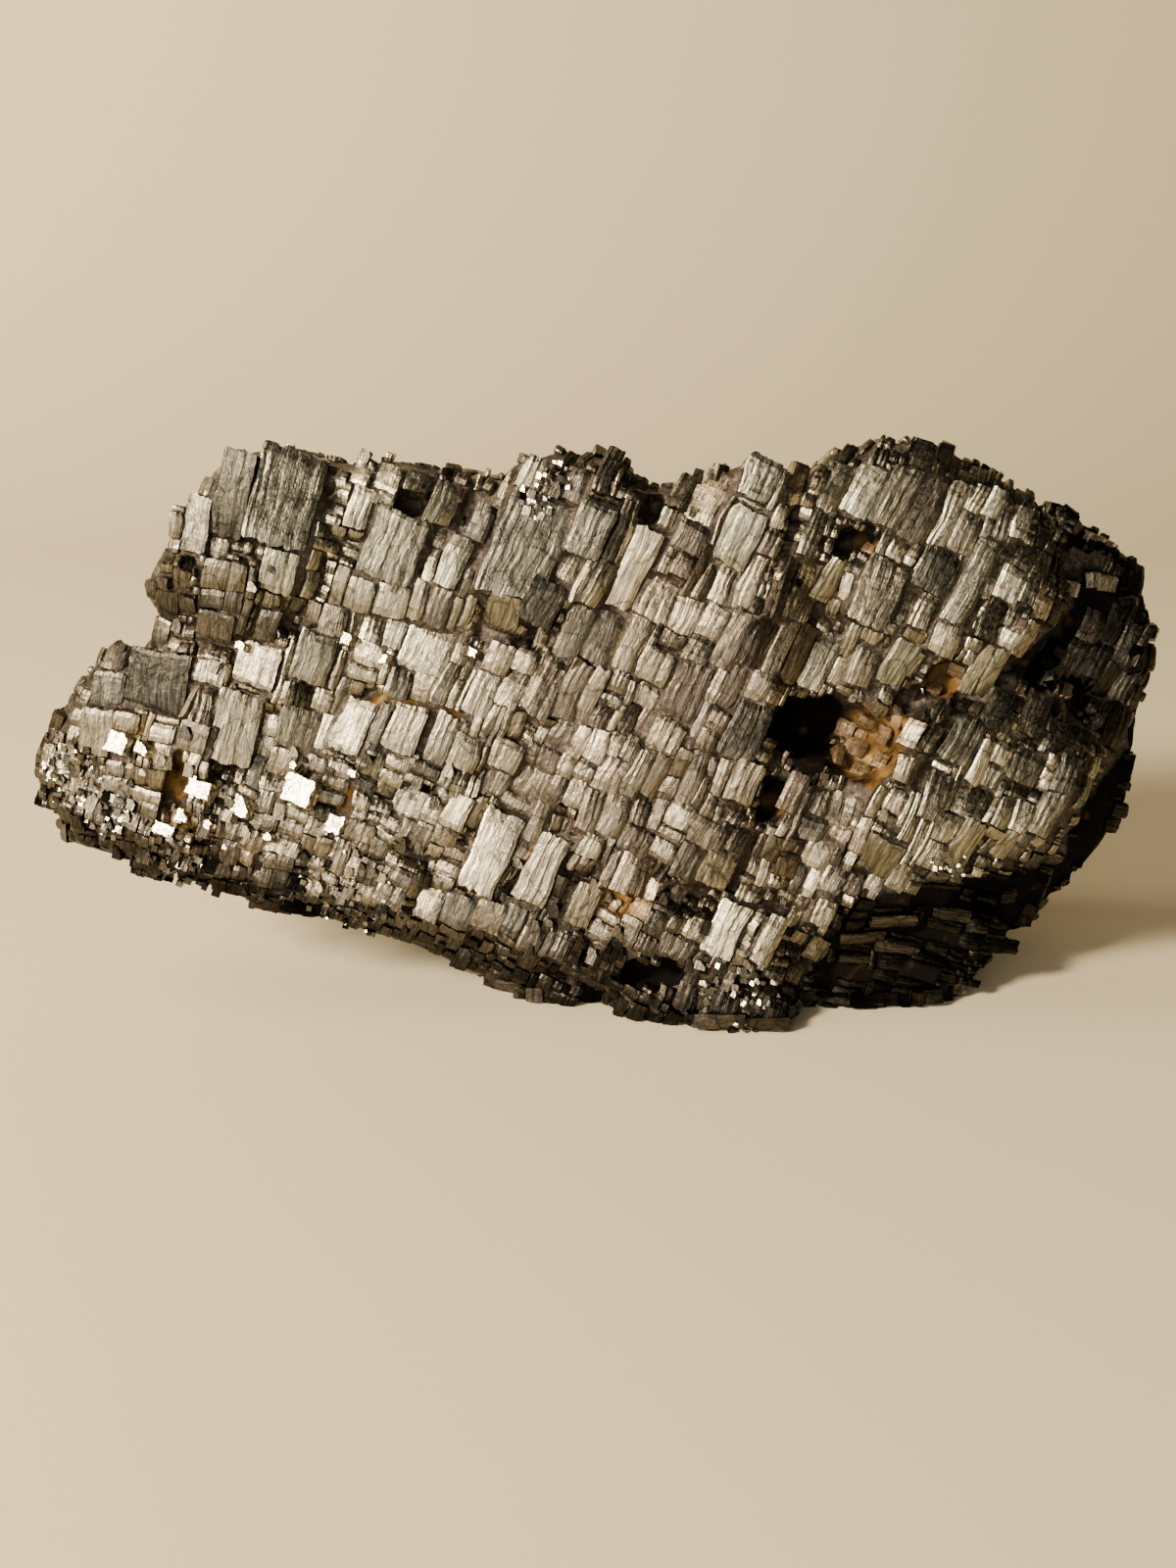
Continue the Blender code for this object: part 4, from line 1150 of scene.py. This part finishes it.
def area_light(name, place, aim, size, power, colour):
    """A lamp at a place, turned to what it aims at (mm), with its width and height (m) and its power (W)."""
    lamp = bpy.data.lights.new(name, "AREA")
    lamp.shape = "RECTANGLE"
    lamp.size, lamp.size_y = size
    lamp.energy = power
    lamp.color = linear(colour)[:3]
    made = placed(name, lamp)
    made.location = Vector(place) * MM
    made.rotation_euler = ((Vector(aim) - Vector(place)) * MM).to_track_quat("-Z", "Y").to_euler()


def lights():
    """A warm key from the upper left, a broad soft light behind the camera's left shoulder, a wash on the wall."""
    specimen = (0.0, 0.0, 25.0)
    area_light("key", KEY_AT, specimen, (0.12, 0.12), 14.5, "ffeacd")
    area_light("soft_box", (-190, -520, 120), specimen, (0.42, 0.34), 3.1, "fff2e2")
    area_light("wall_wash", (-440, 60, 430), (-300, 380, 60), (0.5, 0.3), 3.4, "ffe6c8")
    world = bpy.data.worlds.new("room")
    world.use_nodes = True
    background = world.node_tree.nodes["Background"]
    background.inputs["Color"].default_value = linear("a6a8aa")
    background.inputs["Strength"].default_value = 0.055
    bpy.context.scene.world = world


def main():
    pyrite = tarnished_pyrite()
    groundmass(dark_groundmass())
    front, left, centre, right, sides, back, druse, chips, bright = (Growth() for _ in range(9))
    grow_front(front)
    for row in front.rows:
        (left, centre, right)[(row[0] > -18) + (row[0] > 16)].rows.append(row)
    edge_size, back_size, side_size, bar_size = even(6.2, 7.4), even(9.5, 10.5), even(2.8, 3.6), even(2.3, 4.8)
    # Painted shade: the underside's tone of 0.1 and the right side's of -0.12, below the others' 0.4, stand for the
    # shade away from the key light at the upper left.
    for growth, side, cells, size, tone in (
        (sides, TOP, split((-58, 58, 0, 24), SOLID_SEED + 2, edge_size, least=SOLID_LEAST), side_size, 0.4),
        (sides, UNDERSIDE, [((-24, 24, -58, 58), SEED)], bar_size, 0.1),
        (sides, RIGHT, split((-7, 24, -32, 32), SOLID_SEED + 4, edge_size, least=SOLID_LEAST), side_size, -0.12),
        (sides, LEFT, split((-24, 5, -32, 32), SOLID_SEED + 5, edge_size, least=SOLID_LEAST), side_size, 0.4),
        (back, BACK, split((-62, 64, -34, 36), SOLID_SEED + 1, back_size, least=SOLID_LEAST), side_size, 0.4),
    ):
        grow_side(growth, side, cells, size, tone)
    grow_druse(druse)
    grow_chips(chips, CHIPS)
    grow_bright_faces(bright)
    blocks, cubes = block_forms(), cube_forms()
    for name, growth, forms, shift, detail, settings in (
        ("left_front_crystals", left, blocks, 0, 1, BLOCKS),
        ("middle_front_crystals", centre, blocks, 1, 1, BLOCKS),
        ("right_front_crystals", right, blocks, 2, 1, BLOCKS),
        ("side_crystals", sides, blocks, 5, 0, BLOCKS),
        ("back_crystals", back, blocks, 6, 0, BLOCKS),
        ("druse", druse, cubes, 9, 0, CUBES),
        ("chips", chips, cubes, 8, 0, CUBES),
        ("bright_faces", bright, cubes, 10, 3, MIRRORS),
    ):
        grown_piece(name, growth, pyrite, SEED + shift, {**settings, "Forms": forms, "Detail": detail})
    backdrop()
    camera()
    lights()


main()
